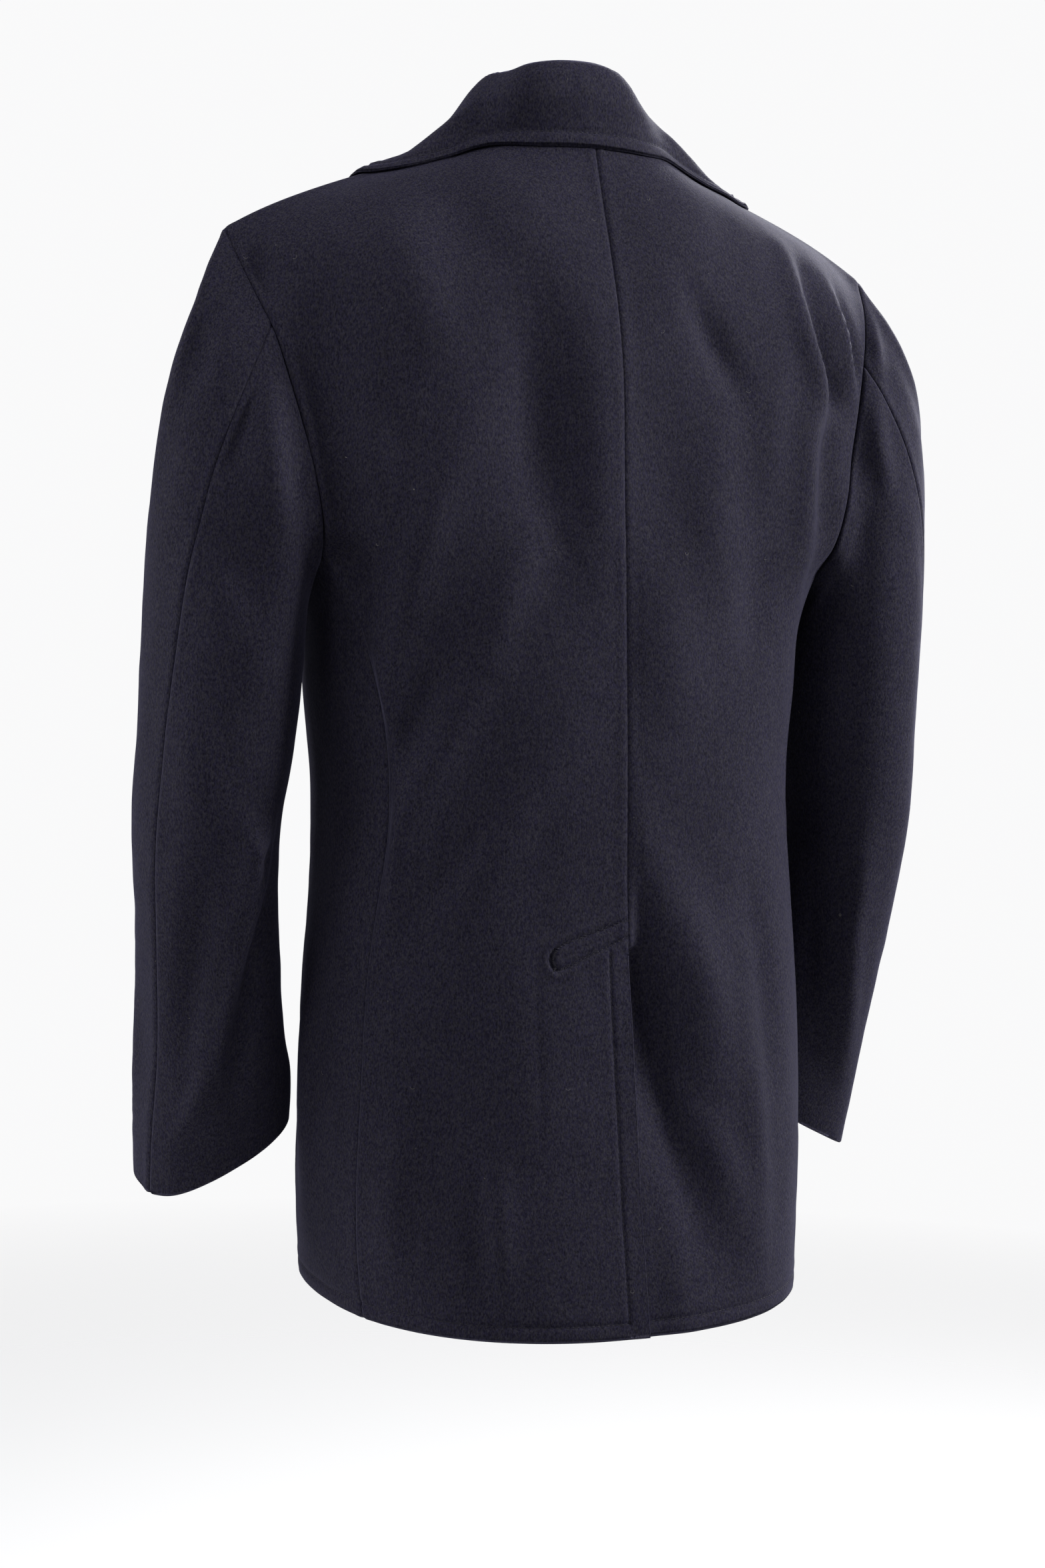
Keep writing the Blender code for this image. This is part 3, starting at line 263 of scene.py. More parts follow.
# folds and creases of each piece, in millimetres: height out of the cloth, or depth if
# negative, half width, and the start, middle and end of the line that it follows. The
# last rows run on over two pieces.
CREASES = {
    "back_left": (
        (-5, 15, (186, 58, -85), (178, 70, -143), (150, 86, -200)),
        (4, 13, (166, 70, -120), (167, 80, -200), (152, 82, -285)),
        (3, 22, (78, 97, -170), (128, 88, -300), (158, 64, -480)),
        (-2.5, 18, (80, 107, -280), (102, 106, -390), (128, 95, -460)),
        (10.3, 16, (103, 93, -169), (142, 84, -263), (150, 71, -373)),
        (-11.5, 18, (201, 47, -88), (189, 66, -172), (167, 59, -289)),
        (-8, 22, (60, 85, -82), (59, 97, -167), (41, 110, -276)),
        (-6.9, 10, (226, 17, -64), (225, 28, -82), (224, 37, -103)),
        (5.7, 20, (141, 46, -37), (137, 72, -83), (125, 86, -133)),
        (6.9, 15, (66, 104, -248), (86, 105, -293), (98, 104, -340)),
        (9.2, 18, (150, 73, -319), (151, 68, -393), (161, 60, -481)),
        (11, 17, (96, 105, -336), (143, 80, -430), (165, 61, -525)),
        (-6.9, 14, (123, 93, -324), (139, 83, -383), (153, 67, -434)),
        (4.6, 14, (67, 117, -421), (94, 112, -458), (123, 102, -490)),
        (-4.6, 14, (73, 114, -384), (109, 106, -453), (146, 88, -522)),
        (-8, 34, (117, 113, -550), (124, 118, -614), (134, 120, -691)),
        (4.6, 10, (97, 135, -640), (96, 143, -688), (95, 150, -733)),
        (-4.1, 9, (105, 132, -643), (105, 139, -692), (105, 144, -731)),
        (5.1, 14, (148, 98, -607), (151, 100, -669), (152, 100, -728)),
        (-0.8, 3.5, (65, 125, -515), (66, 133, -574), (66, 144, -635)),
    ),
    "back_right": (
        (6, 14, (-166, 73, -110), (-148, 87, -190), (-152, 80, -290)),
        (-7, 13, (-192, 62, -115), (-172, 76, -180), (-172, 70, -265)),
        (3, 16, (-134, 82, -100), (-117, 92, -180), (-118, 94, -235)),
        (-3, 22, (-12, 130, -490), (-36, 146, -620), (-64, 157, -720)),
        (7.8, 10, (-148, 45, -40), (-147, 74, -99), (-171, 75, -161)),
        (-10.3, 9, (-164, 51, -57), (-170, 70, -114), (-194, 63, -152)),
        (6, 8, (-187, 40, -58), (-193, 56, -101), (-205, 55, -139)),
        (-6.9, 7, (-197, 40, -69), (-207, 48, -103), (-214, 49, -132)),
        (-6.4, 12, (-52, 84, -70), (-72, 89, -111), (-96, 93, -155)),
        (6.9, 22, (-75, 96, -160), (-67, 102, -225), (-69, 108, -290)),
        (6, 24, (-29, 106, -242), (-32, 114, -306), (-35, 119, -373)),
        (-5.1, 18, (-115, 95, -243), (-107, 98, -283), (-103, 102, -329)),
        (8, 22, (-1, 124, -431), (-56, 128, -524), (-71, 139, -613)),
        (-11, 16, (0, 126, -465), (-4, 137, -562), (-43, 159, -696)),
        (5.7, 16, (-36, 144, -610), (-72, 146, -660), (-85, 154, -727)),
        (-4.1, 14, (-98, 111, -463), (-115, 112, -539), (-116, 121, -603)),
        (-5.5, 26, (-17, 131, -519), (-35, 144, -611), (-52, 166, -744)),
        (4.6, 14, (-90, 124, -550), (-96, 135, -639), (-97, 148, -726)),
    ),
    "under_sleeve_left": (
        (3, 12, (217, 51, -140), (224, 63, -205), (214, 64, -280)),
        (4, 14, (226, 45, -440), (238, 34, -540), (244, 10, -640)),
        (8.4, 13, (228, 53, -152), (234, 63, -201), (222, 67, -253)),
        (-6.4, 10, (237, 52, -149), (245, 57, -177), (248, 62, -211)),
        (6, 16, (217, 65, -259), (221, 65, -296), (233, 64, -342)),
        (8.4, 8, (241, 55, -424), (232, 47, -465), (241, 39, -519)),
        (6, 4.6, (217, 44, -436), (239, 37, -527), (243, 19, -595)),
        (4.4, 6, (234, 53, -435), (236, 49, -456), (236, 47, -474)),
        (5.2, 6, (246, 19, -590), (253, 6, -623), (258, -4, -642)),
        (-8, 11, (258, 46, -456), (264, 27, -527), (262, 4, -605)),
        (-6.4, 9, (228, 44, -474), (229, 32, -550), (231, 10, -624)),
        (6.4, 7, (220, 47, -431), (229, 49, -445), (238, 50, -450)),
    ),
    "top_sleeve_left": (
        (-3, 14, (255, -58, -370), (240, -72, -420), (222, -70, -450)),
        (-5.6, 12, (258, 18, -90), (266, 32, -128), (271, 40, -162)),
        (6.7, 10, (267, -60, -400), (233, -70, -418), (209, -52, -428)),
        (-6.1, 10, (275, -54, -425), (243, -72, -440), (219, -66, -452)),
        (6.1, 11, (270, -62, -452), (246, -74, -470), (218, -68, -478)),
        (-4.8, 10, (258, -64, -372), (233, -68, -388), (210, -55, -400)),
        (4.8, 16, (269, -21, -180), (270, -42, -260), (257, -62, -350)),
        (-4.5, 14, (258, -38, -190), (251, -57, -260), (233, -66, -330)),
        (4.5, 14, (277, -48, -520), (272, -58, -590), (271, -69, -645)),
    ),
    "under_sleeve_right": (
        (4, 14, (-222, 48, -400), (-236, 38, -490), (-240, 16, -590)),
        (-5.6, 12, (-259, -26, -159), (-206, 64, -220), (-212, 63, -271)),
        (6.7, 9, (-231, 46, -470), (-227, 34, -540), (-245, 7, -630)),
        (-4.8, 12, (-206, 25, -480), (-204, 18, -560), (-219, 10, -620)),
    ),
    "top_sleeve_right": (
        (-4, 14, (-258, -56, -390), (-240, -74, -430), (-222, -72, -465)),
        (5, 8, (-237, 18, -77), (-233, 36, -108), (-231, 45, -129)),
        (6.4, 11, (-267, -61, -410), (-233, -70, -424), (-208, -52, -440)),
        (-5.8, 10, (-274, -57, -436), (-240, -73, -452), (-219, -66, -462)),
        (5.4, 10, (-268, -63, -462), (-244, -75, -478), (-219, -71, -490)),
        (5.1, 15, (-269, -24, -190), (-268, -46, -270), (-248, -66, -360)),
        (-4.5, 13, (-256, -38, -180), (-246, -58, -250), (-230, -65, -320)),
        (4.2, 15, (-278, -45, -520), (-273, -54, -590), (-272, -64, -640)),
    ),
    "collar": (
        (1, 3.5, (77, 30, 25), (61, 40, 31), (43, 50, 34)),
        (0.8, 3.5, (48, 44, 54), (32, 48, 59), (16, 49, 61)),
        (-1.6, 8, (73, 21, 43), (73, 28, 36), (71, 33, 29)),
        (1.2, 6, (110, 25, 7), (84, 30, 15), (57, 43, 16)),
    ),
    "front_left": (
        (4, 16, (188, -75, -110), (170, -100, -200), (150, -110, -300)),
        (9.6, 14, (176, -92, -150), (150, -111, -200), (118, -117, -262)),
        (-8.4, 14, (186, -81, -180), (160, -95, -235), (130, -101, -300)),
        (8.4, 16, (180, -72, -235), (156, -78, -280), (142, -82, -350)),
        (6, 13, (108, -116, -300), (120, -102, -345), (140, -76, -395)),
        (-5.3, 12, (88, -121, -335), (108, -107, -370), (150, -59, -420)),
        (5.3, 12, (30, -139, -298), (0, -139, -303), (-40, -138, -296)),
        (-4.3, 10, (40, -134, -330), (5, -135, -338), (-45, -134, -322)),
        (4.8, 12, (46, -123, -415), (10, -125, -424), (-48, -124, -408)),
        (-4.8, 12, (40, -120, -455), (0, -122, -462), (-40, -122, -440)),
        (7.2, 18, (50, -116, -530), (40, -121, -620), (30, -127, -715)),
        (-7.7, 20, (94, -104, -560), (85, -111, -640), (80, -116, -720)),
        (5.8, 14, (150, -62, -600), (146, -69, -660), (150, -64, -725)),
        (-4.8, 16, (-20, -120, -580), (-26, -124, -650), (-30, -127, -725)),
    ),
    "front_right": (
        (5, 16, (-186, -75, -120), (-165, -100, -210), (-152, -108, -290)),
        (10.1, 15, (-174, -93, -160), (-145, -113, -215), (-120, -111, -285)),
        (-9.1, 13, (-186, -76, -200), (-158, -92, -250), (-136, -92, -330)),
        (6.7, 14, (-176, -64, -255), (-154, -73, -310), (-145, -72, -380)),
        (-4.8, 12, (-120, -103, -345), (-138, -80, -385), (-160, -36, -430)),
        (7.2, 18, (-125, -84, -520), (-132, -82, -620), (-130, -87, -720)),
        (-5.8, 16, (-158, -49, -590), (-160, -47, -650), (-155, -57, -720)),
    ),
    "back_left back_right": (
        (7.4, 26, (15, 80, -62), (15, 99, -171), (15, 113, -291)),
    ),
    "back_left front_left": (
        (6.9, 20, (171, 6, -513), (175, 11, -605), (173, 7, -704)),
    ),
    "under_sleeve_left top_sleeve_left": (
        (-6, 16, (267, 53, -236), (248, 66, -266), (227, 65, -314)),
        (5, 18, (279, 36, -352), (268, 46, -406), (246, 49, -462)),
    ),
    "under_sleeve_right top_sleeve_right": (
        (6, 9, (-226, 46, -131), (-223, 59, -178), (-231, 64, -208)),
    ),
}

# stitched band at the vent's top, from the centre seam round its end and back, and its
# bar tack, in millimetres
VENT_BAND = ((2, 128, -493), (14, 128, -497), (27, 128, -501), (39, 127, -505), (48, 127, -508),
             (53.5, 127, -512), (54.8, 127, -517), (53, 128, -522.5), (47, 129, -523),
             (38, 129, -519), (28, 129, -515), (16, 129, -510), (2, 129, -504))
VENT_TACK = ((52, 127, -511), (54.5, 127, -517), (52, 128, -523.5))


# ---------------------------------------------------------------- small helpers
def smoothstep(low, high, value):
    t = np.clip((np.asarray(value, float) - low) / (high - low), 0.0, 1.0)
    return t * t * (3.0 - 2.0 * t)


def unit(vectors):
    vectors = np.asarray(vectors, float)
    return vectors / np.maximum(np.linalg.norm(vectors, axis=-1, keepdims=True), 1e-12)


def between(t, span, values, slopes, k):
    """Smooth curve from value k to the next one, with the given slopes at both."""
    return ((2 * t**3 - 3 * t**2 + 1) * values[k] + (t**3 - 2 * t**2 + t) * span * slopes[k]
            + (3 * t**2 - 2 * t**3) * values[k + 1] + (t**3 - t**2) * span * slopes[k + 1])


def spline(knots, values, at):
    """Smooth curve through values at knots, with slopes taken from the neighbours."""
    knots = np.asarray(knots, float)
    values = np.asarray(values, float)
    slopes = np.gradient(values, knots, axis=0)
    at = np.clip(np.asarray(at, float), knots[0], knots[-1])
    k = np.clip(np.searchsorted(knots, at, side="right") - 1, 0, len(knots) - 2)
    span = knots[k + 1] - knots[k]
    t = (at - knots[k]) / span
    if values.ndim > 1:
        t, span = t[..., None], span[..., None]
    return between(t, span, values, slopes, k)


def table_value(rows, columns, name, z):
    """One column of a table that runs upwards in z, read at height z."""
    rows = sorted(rows, key=lambda row: row[columns.index("z")])
    knots = [row[columns.index("z")] for row in rows]
    return spline(knots, [row[columns.index(name)] for row in rows], z)


def hump(distance, half_width):
    """Smooth rise to 1 where the distance is 0."""
    return np.exp(-(distance / half_width) ** 2)


def bezier(p0, p1, p2, p3, t):
    t = np.asarray(t, float)[..., None]
    s = 1.0 - t
    return s**3 * p0 + 3 * s**2 * t * p1 + 3 * s * t**2 * p2 + t**3 * p3


def lengths_along(lines):
    """Length along each line of points, at each of them; the first axis runs along it."""
    steps = np.linalg.norm(np.diff(lines, axis=0), axis=-1)
    return np.concatenate([np.zeros_like(steps[:1]), np.cumsum(steps, axis=0)])


def read_at(wanted, length, values):
    """Values of a line, three for each point, at the wanted lengths along it."""
    return np.stack([np.interp(wanted, length, values[:, axis]) for axis in range(3)], axis=-1)


def along(points, shares, corner=0, count=400):
    """Points along a smooth curve through the given ones.

    A share runs from 0 at the start to 1 at the end, or, where a corner point's number is
    given, from -1 at the start over 0 at that point to 1 at the end.
    """
    points = np.asarray(points, float)
    knots = lengths_along(points)
    places = np.linspace(0, knots[-1], count)
    fine = spline(knots, points, places)
    length = lengths_along(fine)
    turn = np.interp(knots[corner], places, length)
    return read_at(np.interp(shares, [-1, 0, 1], [0, turn, length[-1]]), length, fine)


def from_side(side, grid):
    """View of a grid that starts at one of its sides and leads away from it."""
    view = grid.swapaxes(0, 1) if side.endswith("row") else grid
    return view[::-1] if side.startswith("last") else view


def mirrored(points):
    return np.asarray(points, float) * (-1.0, 1.0, 1.0)


# ---------------------------------------------------------------- the body's form
def ring_point(bearing, z):
    """Point of the body at a bearing from the centre back, in radians, and a height."""
    bearing, z = np.broadcast_arrays(np.asarray(bearing, float), np.asarray(z, float))
    half, back, front, middle = (table_value(RINGS, RING_COLUMNS, name, z)
                                 for name in RING_COLUMNS[1:])
    depth = np.where(np.cos(bearing) > 0, back - middle, middle - front)
    radius = ((np.abs(np.sin(bearing)) / half) ** RING_POWER
              + (np.abs(np.cos(bearing)) / depth) ** RING_POWER) ** (-1 / RING_POWER)
    return np.stack([radius * np.sin(bearing), middle + radius * np.cos(bearing), z], axis=-1)


def bearing_of(point):
    """Bearing at which the body's ring passes a point's plan position."""
    middle = table_value(RINGS, RING_COLUMNS, "middle_y", point[..., 2])
    return np.arctan2(point[..., 0], point[..., 1] - middle)


def bearing_at_x(x, z):
    """Bearing on the front where the ring at height z passes x."""
    low, high = math.radians(95), math.radians(265)
    for _ in range(40):
        middle = (low + high) / 2
        if ring_point(middle, z)[0] > x:
            low = middle
        else:
            high = middle
    return middle


def side_bearing(z):
    """Bearing of the side seam at height z."""
    return math.radians(table_value(SIDE_SEAM, SEAM_COLUMNS, "bearing", z))


def hem_z(bearing):
    """The hem drops towards the back."""
    return HEM_FRONT_Z + (HEM_BACK_Z - HEM_FRONT_Z) * (0.5 + 0.5 * np.cos(bearing))


def armhole(side_points):
    """Armhole points from the armpit to the shoulder tip, one for each grid row."""
    return along(side_points, np.linspace(0, 1, ARMHOLE_ROWS + YOKE_ROWS + 1))


def body_rows(share, edge_bearing, centre_bearing, edge_points):
    """Grid rows from the hem to the yoke level.

    share is each column's place between the centre line, 0, and the side, 1. The two
    bearing functions give the ends of a row at a height.
    """
    rows = []
    rise = share**6
    chest_z = CHEST_Z + (ARMPIT_Z - CHEST_Z) * rise
    for step in np.linspace(0, 1, BODY_ROWS + 1)[:-1]:
        level = HEM_BACK_Z + step * (ARMPIT_Z - HEM_BACK_Z)
        bearing = centre_bearing(level) + (edge_bearing(level) - centre_bearing(level)) * share
        z = hem_z(bearing) + step * (chest_z - hem_z(bearing))
        rows.append(ring_point(bearing, z))
    for k in range(ARMHOLE_ROWS + 1):
        centre_z = CHEST_Z + (YOKE_Z - CHEST_Z) * k / ARMHOLE_ROWS
        z = centre_z + (edge_points[k, 2] - centre_z) * (rise if k < 2 else share**3)
        far = bearing_of(edge_points[k])
        bearing = centre_bearing(centre_z) + (far - centre_bearing(centre_z)) * share
        row = ring_point(bearing, z)
        rows.append(row + (edge_points[k] - row[-1]) * (share**4)[:, None])
    return np.stack(rows)


def yoke_rows(below, foot, top, leave, arrive, share, edge_points):
    """Grid rows from the yoke level over the shoulder, as one curve for each column."""
    up = unit(foot - below)
    steps = np.linspace(0, 1, YOKE_ROWS + 1)[1:]
    columns = bezier(foot, foot + up * leave[:, None], top - arrive, top, steps[:, None])
    wanted = edge_points[ARMHOLE_ROWS + 1:]
    return columns + (wanted - columns[:, -1])[:, None, :] * (share**5)[None, :, None]


def faired(rows, first_row=BODY_ROWS + 2, passes=25):
    """Grid of the rows, evened out between its borders from a row upwards, but not shrunk."""
    grid = rows.swapaxes(0, 1).copy()
    for weight in (0.50, -0.53) * passes:
        pull = (grid[:-2, 1:-1] + grid[2:, 1:-1] + grid[1:-1, :-2] + grid[1:-1, 2:]) / 4
        pull -= grid[1:-1, 1:-1]
        grid[1:-1, first_row:-1] += weight * pull[:, first_row - 1:]
    return grid


def back_grid():
    """Outer face of the left back: columns from the centre to the side, rows upwards."""
    share = np.concatenate([np.linspace(0, NECK_SHARE, BACK_NECK_COLUMNS + 1),
                            np.linspace(NECK_SHARE, 1, BACK_SHOULDER_COLUMNS + 1)[1:]])
    edge_points = armhole(ARMHOLE_BACK)
    lower = body_rows(share, side_bearing, lambda z: 0.0, edge_points)
    neck = neckline(BACK_NECK_COLUMNS)
    shoulder = shoulder_line(BACK_SHOULDER_COLUMNS)
    top = np.concatenate([neck, shoulder[1:]])
    inner = np.clip(share / NECK_SHARE, 0, 1)[:, None]
    outer = np.clip((share - NECK_SHARE) / (1 - NECK_SHARE), 0, 1)[:, None]
    arrive = ((1 - inner) * np.array([0.0, -0.33, 0.94]) + inner * np.array([-0.50, -0.85, 0.10])
              + outer * (2 - outer) * np.array([0.50, -0.15, 0.02]))
    arrive = unit(arrive) * (0.055 + 0.012 * inner * (1 - outer) ** 2)
    upper = yoke_rows(lower[-2], lower[-1], top, 0.060 + 0.010 * share, arrive, share, edge_points)
    return faired(np.concatenate([lower, upper]))


def neckline(count):
    """Back neckline from the centre back to the neck point."""
    t = np.linspace(0, 1, count + 1)
    back, side = np.array(NECK_BACK), np.array(NECK_POINT)
    return bezier(back, back + (0.045, 0.0, 0.0), side + (-0.006, 0.024, 0.005), side, t)


def shoulder_line(count):
    """Shoulder seam from the neck point to the tip, a little hollow near the neck."""
    t = np.linspace(0, 1, count + 1)
    a, b = np.array(NECK_POINT), np.array(SHOULDER_TIP)
    return bezier(a, a + (0.045, 0.0, -0.017), b + (-0.045, 0.0, 0.030), b, t)


def roll_x(z):
    """Left front's opening edge: up the lap, then along the roll line to the neck."""
    rise = np.clip((z - BREAK_Z) / (NECK_POINT[2] - BREAK_Z), 0, 1)
    return -OVERLAP_X + (OVERLAP_X + NECK_POINT[0]) * rise


def front_grid():
    """Outer face of the left front: columns from its opening edge to the side."""
    share = np.linspace(0, 1, FRONT_COLUMNS + 1)
    edge_points = armhole(ARMHOLE_FRONT)
    lower = body_rows(share, side_bearing, lambda z: bearing_at_x(roll_x(z), z), edge_points)
    seam = shoulder_line(BACK_SHOULDER_COLUMNS)
    top = np.empty((FRONT_COLUMNS + 1, 3))
    top[::2], top[1::2] = seam, (seam[1:] + seam[:-1]) / 2
    turn = share[:, None]
    arrive = 0.075 * ((1 - turn) * np.array([0.30, 0.80, 0.55]) + turn * np.array([0.0, 1.0, 0.12]))
    leave = 0.070 - 0.010 * share
    upper = yoke_rows(lower[-2], lower[-1], top, leave, arrive, share, edge_points)
    stray = roll_x(upper[:, 0, 2]) - upper[:, 0, 0]
    upper[..., 0] += stray[:, None] * (1 - share) ** 4
    return faired(np.concatenate([lower, upper]))


# ---------------------------------------------------------------- the sleeves
def sleeve_ring(z, turns):
    """Points of the left sleeve at a level.

    turns gives each column's place round the armhole: whole steps from the armpit, up
    the back, over the shoulder and down the front. A bearing of 0 points outwards and
    90 to the back.
    """
    value = {name: float(table_value(SLEEVE, SLEEVE_COLUMNS, name, z))
             for name in SLEEVE_COLUMNS[1:]}
    last = 2 * (ARMHOLE_ROWS + YOKE_ROWS)
    bearing = np.radians(np.interp(turns, [0, ELBOW_SEAM_STEP, last - FOREARM_SEAM_STEP, last],
                                   [180.0, value["elbow_seam"], FOREARM_SEAM, -180.0]))
    cos, sin = np.cos(bearing), np.sin(bearing)
    radius = (np.abs(cos) ** value["power"] + np.abs(sin) ** value["power"]) ** (-1 / value["power"])
    x = value["half_width"] * radius * cos
    y = value["half_depth"] * radius * sin
    return np.stack([value["x"] + x, value["y"] + y,
                     z - value["slope_x"] * x - value["slope_y"] * y], axis=-1)


def sleeve_grid():
    """Whole left sleeve: a closed set of columns from the armpit, up the back and round."""
    back, front = armhole(ARMHOLE_BACK), armhole(ARMHOLE_FRONT)
    loop = np.concatenate([back, front[-2::-1]])
    turns = np.arange(len(loop))
    start_z, end_z = SLEEVE[0][0], SLEEVE[-1][0]
    foot = sleeve_ring(start_z, turns)
    below = sleeve_ring(start_z - 0.01, turns)
    height = ((loop[:, 2] - ARMPIT_Z) / (SHOULDER_TIP[2] - ARMPIT_Z))[:, None]
    leave = (1 - height) * np.array([0.35, 0.0, -1.0]) + height * np.array([0.66, 0.62, -1.0])
    reach = np.linalg.norm(foot - loop, axis=1, keepdims=True) / 3
    head = bezier(loop, loop + unit(leave) * reach * (1.0 + 0.22 * height),
                  foot - unit(below - foot) * reach * (1.0 + 0.5 * height), foot,
                  np.linspace(0, 1, SLEEVE_HEAD_ROWS + 1)[:, None])
    arm = [sleeve_ring(z, turns) for z in np.linspace(start_z, end_z, SLEEVE_ARM_ROWS + 1)[1:]]
    return np.concatenate([head, np.stack(arm)]).swapaxes(0, 1)


# ---------------------------------------------------------------- the collar
def neck_edge(back, front):
    """The left panels' edge at the neck and the way out of it, at the collar's columns.

    The collar has a column at every point of the edge and one between them, so that its
    base runs along the same straight pieces. The third value is each column's station.
    """
    edge = np.concatenate([back[:BACK_NECK_COLUMNS + 1, -1], front[0, -2::-1]])
    beside = np.concatenate([back[:BACK_NECK_COLUMNS + 1, -2], front[1, -2::-1]])
    numbers = np.arange(len(edge))
    last = float(np.interp(-COLLAR_END_Z, -edge[:, 2], numbers))
    place = np.concatenate([np.arange(2 * BACK_NECK_COLUMNS + COLLAR_FRONT_COLUMNS) / 2, [last]])
    station = np.interp(place, [0, BACK_NECK_COLUMNS, last], [0, NECK_STATION, 1])
    return read_at(place, numbers, edge), read_at(place, numbers, unit(edge - beside)), station


def collar_grid(back, front):
    """Visible face of the collar: columns round the neck, rows from base to edge."""
    knots = np.array([row[0] for row in COLLAR])
    points = np.array([row[1:] for row in COLLAR], float)
    edge, out, station = neck_edge(back, front)
    foot = edge + out * NECK_GAP
    foot = np.concatenate([mirrored(foot[:0:-1]), foot])
    wanted = np.concatenate([-station[:0:-1], station])
    both = np.concatenate([mirrored(points[:0:-1]), points])
    sections = spline(np.concatenate([-knots[:0:-1], knots]),
                      both.reshape(len(both), -1), wanted).reshape(len(wanted), -1, 3)
    run = unit(np.gradient(foot, axis=0))
    to_neck = unit(np.cross(unit(sections[:, 0] - foot), run))
    to_neck *= np.sign(-(to_neck * (foot - (0.0, -0.01, 0.0)) * (1, 1, 0)).sum(axis=1))[:, None]
    sections = np.concatenate([(foot + to_neck * COLLAR_CLOTH)[:, None], sections], axis=1)

    shares = np.concatenate([-np.linspace(1, 0, COLLAR_STAND_STEPS + 1)[:-1] ** 1.4,
                             np.linspace(0, 1, COLLAR_FALL_STEPS + 1) ** 1.3])
    grid = np.stack([along(section, shares, CREST) for section in sections])
    tuck = smoothstep(0.0, 0.45, -wanted) * (1 - smoothstep(0.65, 0.95, -wanted))
    grid[..., 0] += COLLAR_LEAN * smoothstep(0.010, 0.055, grid[..., 2])
    grid[..., 0] += COLLAR_TUCK * tuck[:, None] * smoothstep(0, 4, np.arange(len(shares)))
    full = COLLAR_FULL * hump(wanted - FULL_STATION, FULL_WIDTH)
    grid[..., 2] += full[:, None] * smoothstep(0.040, 0.058, grid[..., 2])
    return grid


# ---------------------------------------------------------------- pieces and walls
def grid_normals(grid):
    """Normal at each grid point, from the faces round it."""
    faces = np.cross(grid[1:, 1:] - grid[:-1, :-1], grid[:-1, 1:] - grid[1:, :-1])
    normals = np.zeros_like(grid)
    for i, j in ((0, 0), (0, 1), (1, 0), (1, 1)):
        normals[i:i + len(faces), j:j + faces.shape[1]] += faces
    return unit(normals)


# ---------------------------------------------------------------- fine cloth grids
def through(values, at):
    """Evenly curved line through values at whole steps, read at places between them."""
    values = np.asarray(values, float)
    count = len(values)
    flat = values.reshape(count, -1)
    matrix = np.eye(count) * 4 + np.eye(count, k=1) + np.eye(count, k=-1)
    matrix[0, 0] = matrix[-1, -1] = 2
    pull = np.zeros_like(flat)
    pull[1:-1] = 3 * (flat[2:] - flat[:-2])
    pull[0], pull[-1] = 3 * (flat[1] - flat[0]), 3 * (flat[-1] - flat[-2])
    slopes = np.linalg.solve(matrix, pull)
    k = np.clip(np.floor(at).astype(int), 0, count - 2)
    t = (at - k)[:, None]
    return between(t, 1.0, flat, slopes, k).reshape((len(at),) + values.shape[1:])


def refined(grid, steps=FINE_STEPS, closed=False):
    """Grid with each of its steps split, on both axes."""
    at = np.linspace(0, len(grid) - 1, (len(grid) - 1) * steps + 1)
    if closed:
        grid = np.concatenate([grid[-5:-1], grid, grid[1:5]])
        at = at + 4
    grid = through(grid, at).swapaxes(0, 1)
    at = np.linspace(0, len(grid) - 1, (len(grid) - 1) * steps + 1)
    return through(grid, at).swapaxes(0, 1)


def drawn_to(grid, side, wanted, reach):
    """Grid whose last line on a side is moved to a wanted curve, and the next ones less."""
    out = grid.copy()
    view = from_side(side, out)
    weight = (1 - np.arange(reach) / reach) ** 2
    view[:reach] += weight[:, None, None] * (wanted - view[0])[None]
    return out


def respaced(lines, first, last, spacing):
    """Points along the first axis, at fixed distances near both ends and evenly between."""
    first, last = np.array(first), np.array(last)
    length = lengths_along(lines)
    free = length[-1] - first[-1] - last[-1]
    shares = np.linspace(0, 1, max(2, round(float(free.mean()) / spacing) + 1))[1:-1]
    wanted = np.concatenate([np.repeat(first[:, None], len(free), axis=1),
                             first[-1] + shares[:, None] * free,
                             length[-1] - np.repeat(last[::-1, None], len(free), axis=1)])
    return np.stack([read_at(*line) for line in zip(wanted.T, length.T, lines.swapaxes(0, 1))],
                    axis=1)


def respaced_both(grid, first, second, spacing):
    """Grid respaced along its first axis and then along its second one."""
    grid = respaced(grid, *first, spacing)
    return respaced(grid.swapaxes(0, 1), *second, spacing).swapaxes(0, 1)


def spread(grid):
    """Distances over the cloth, at each point: along its row and along its column."""
    return lengths_along(grid), lengths_along(grid.swapaxes(0, 1)).T


# ---------------------------------------------------------------- creases and seams
def line_distance(points, line):
    """Distance from each point to a line of points, and the place of the nearest one."""
    away = np.linalg.norm(points[..., None, :] - line, axis=-1)
    nearest = away.argmin(axis=-1)
    return np.take_along_axis(away, nearest[..., None], axis=-1)[..., 0], nearest / (len(line) - 1)


def against(line, grid, normals):
    """A line moved in or out until it lies on the cloth."""
    spots, outs = grid.reshape(-1, 3), normals.reshape(-1, 3)
    nearest = np.linalg.norm(line[:, None] - spots, axis=-1).argmin(axis=1)
    out = outs[nearest]
    return line + ((spots[nearest] - line) * out).sum(axis=1)[:, None] * out


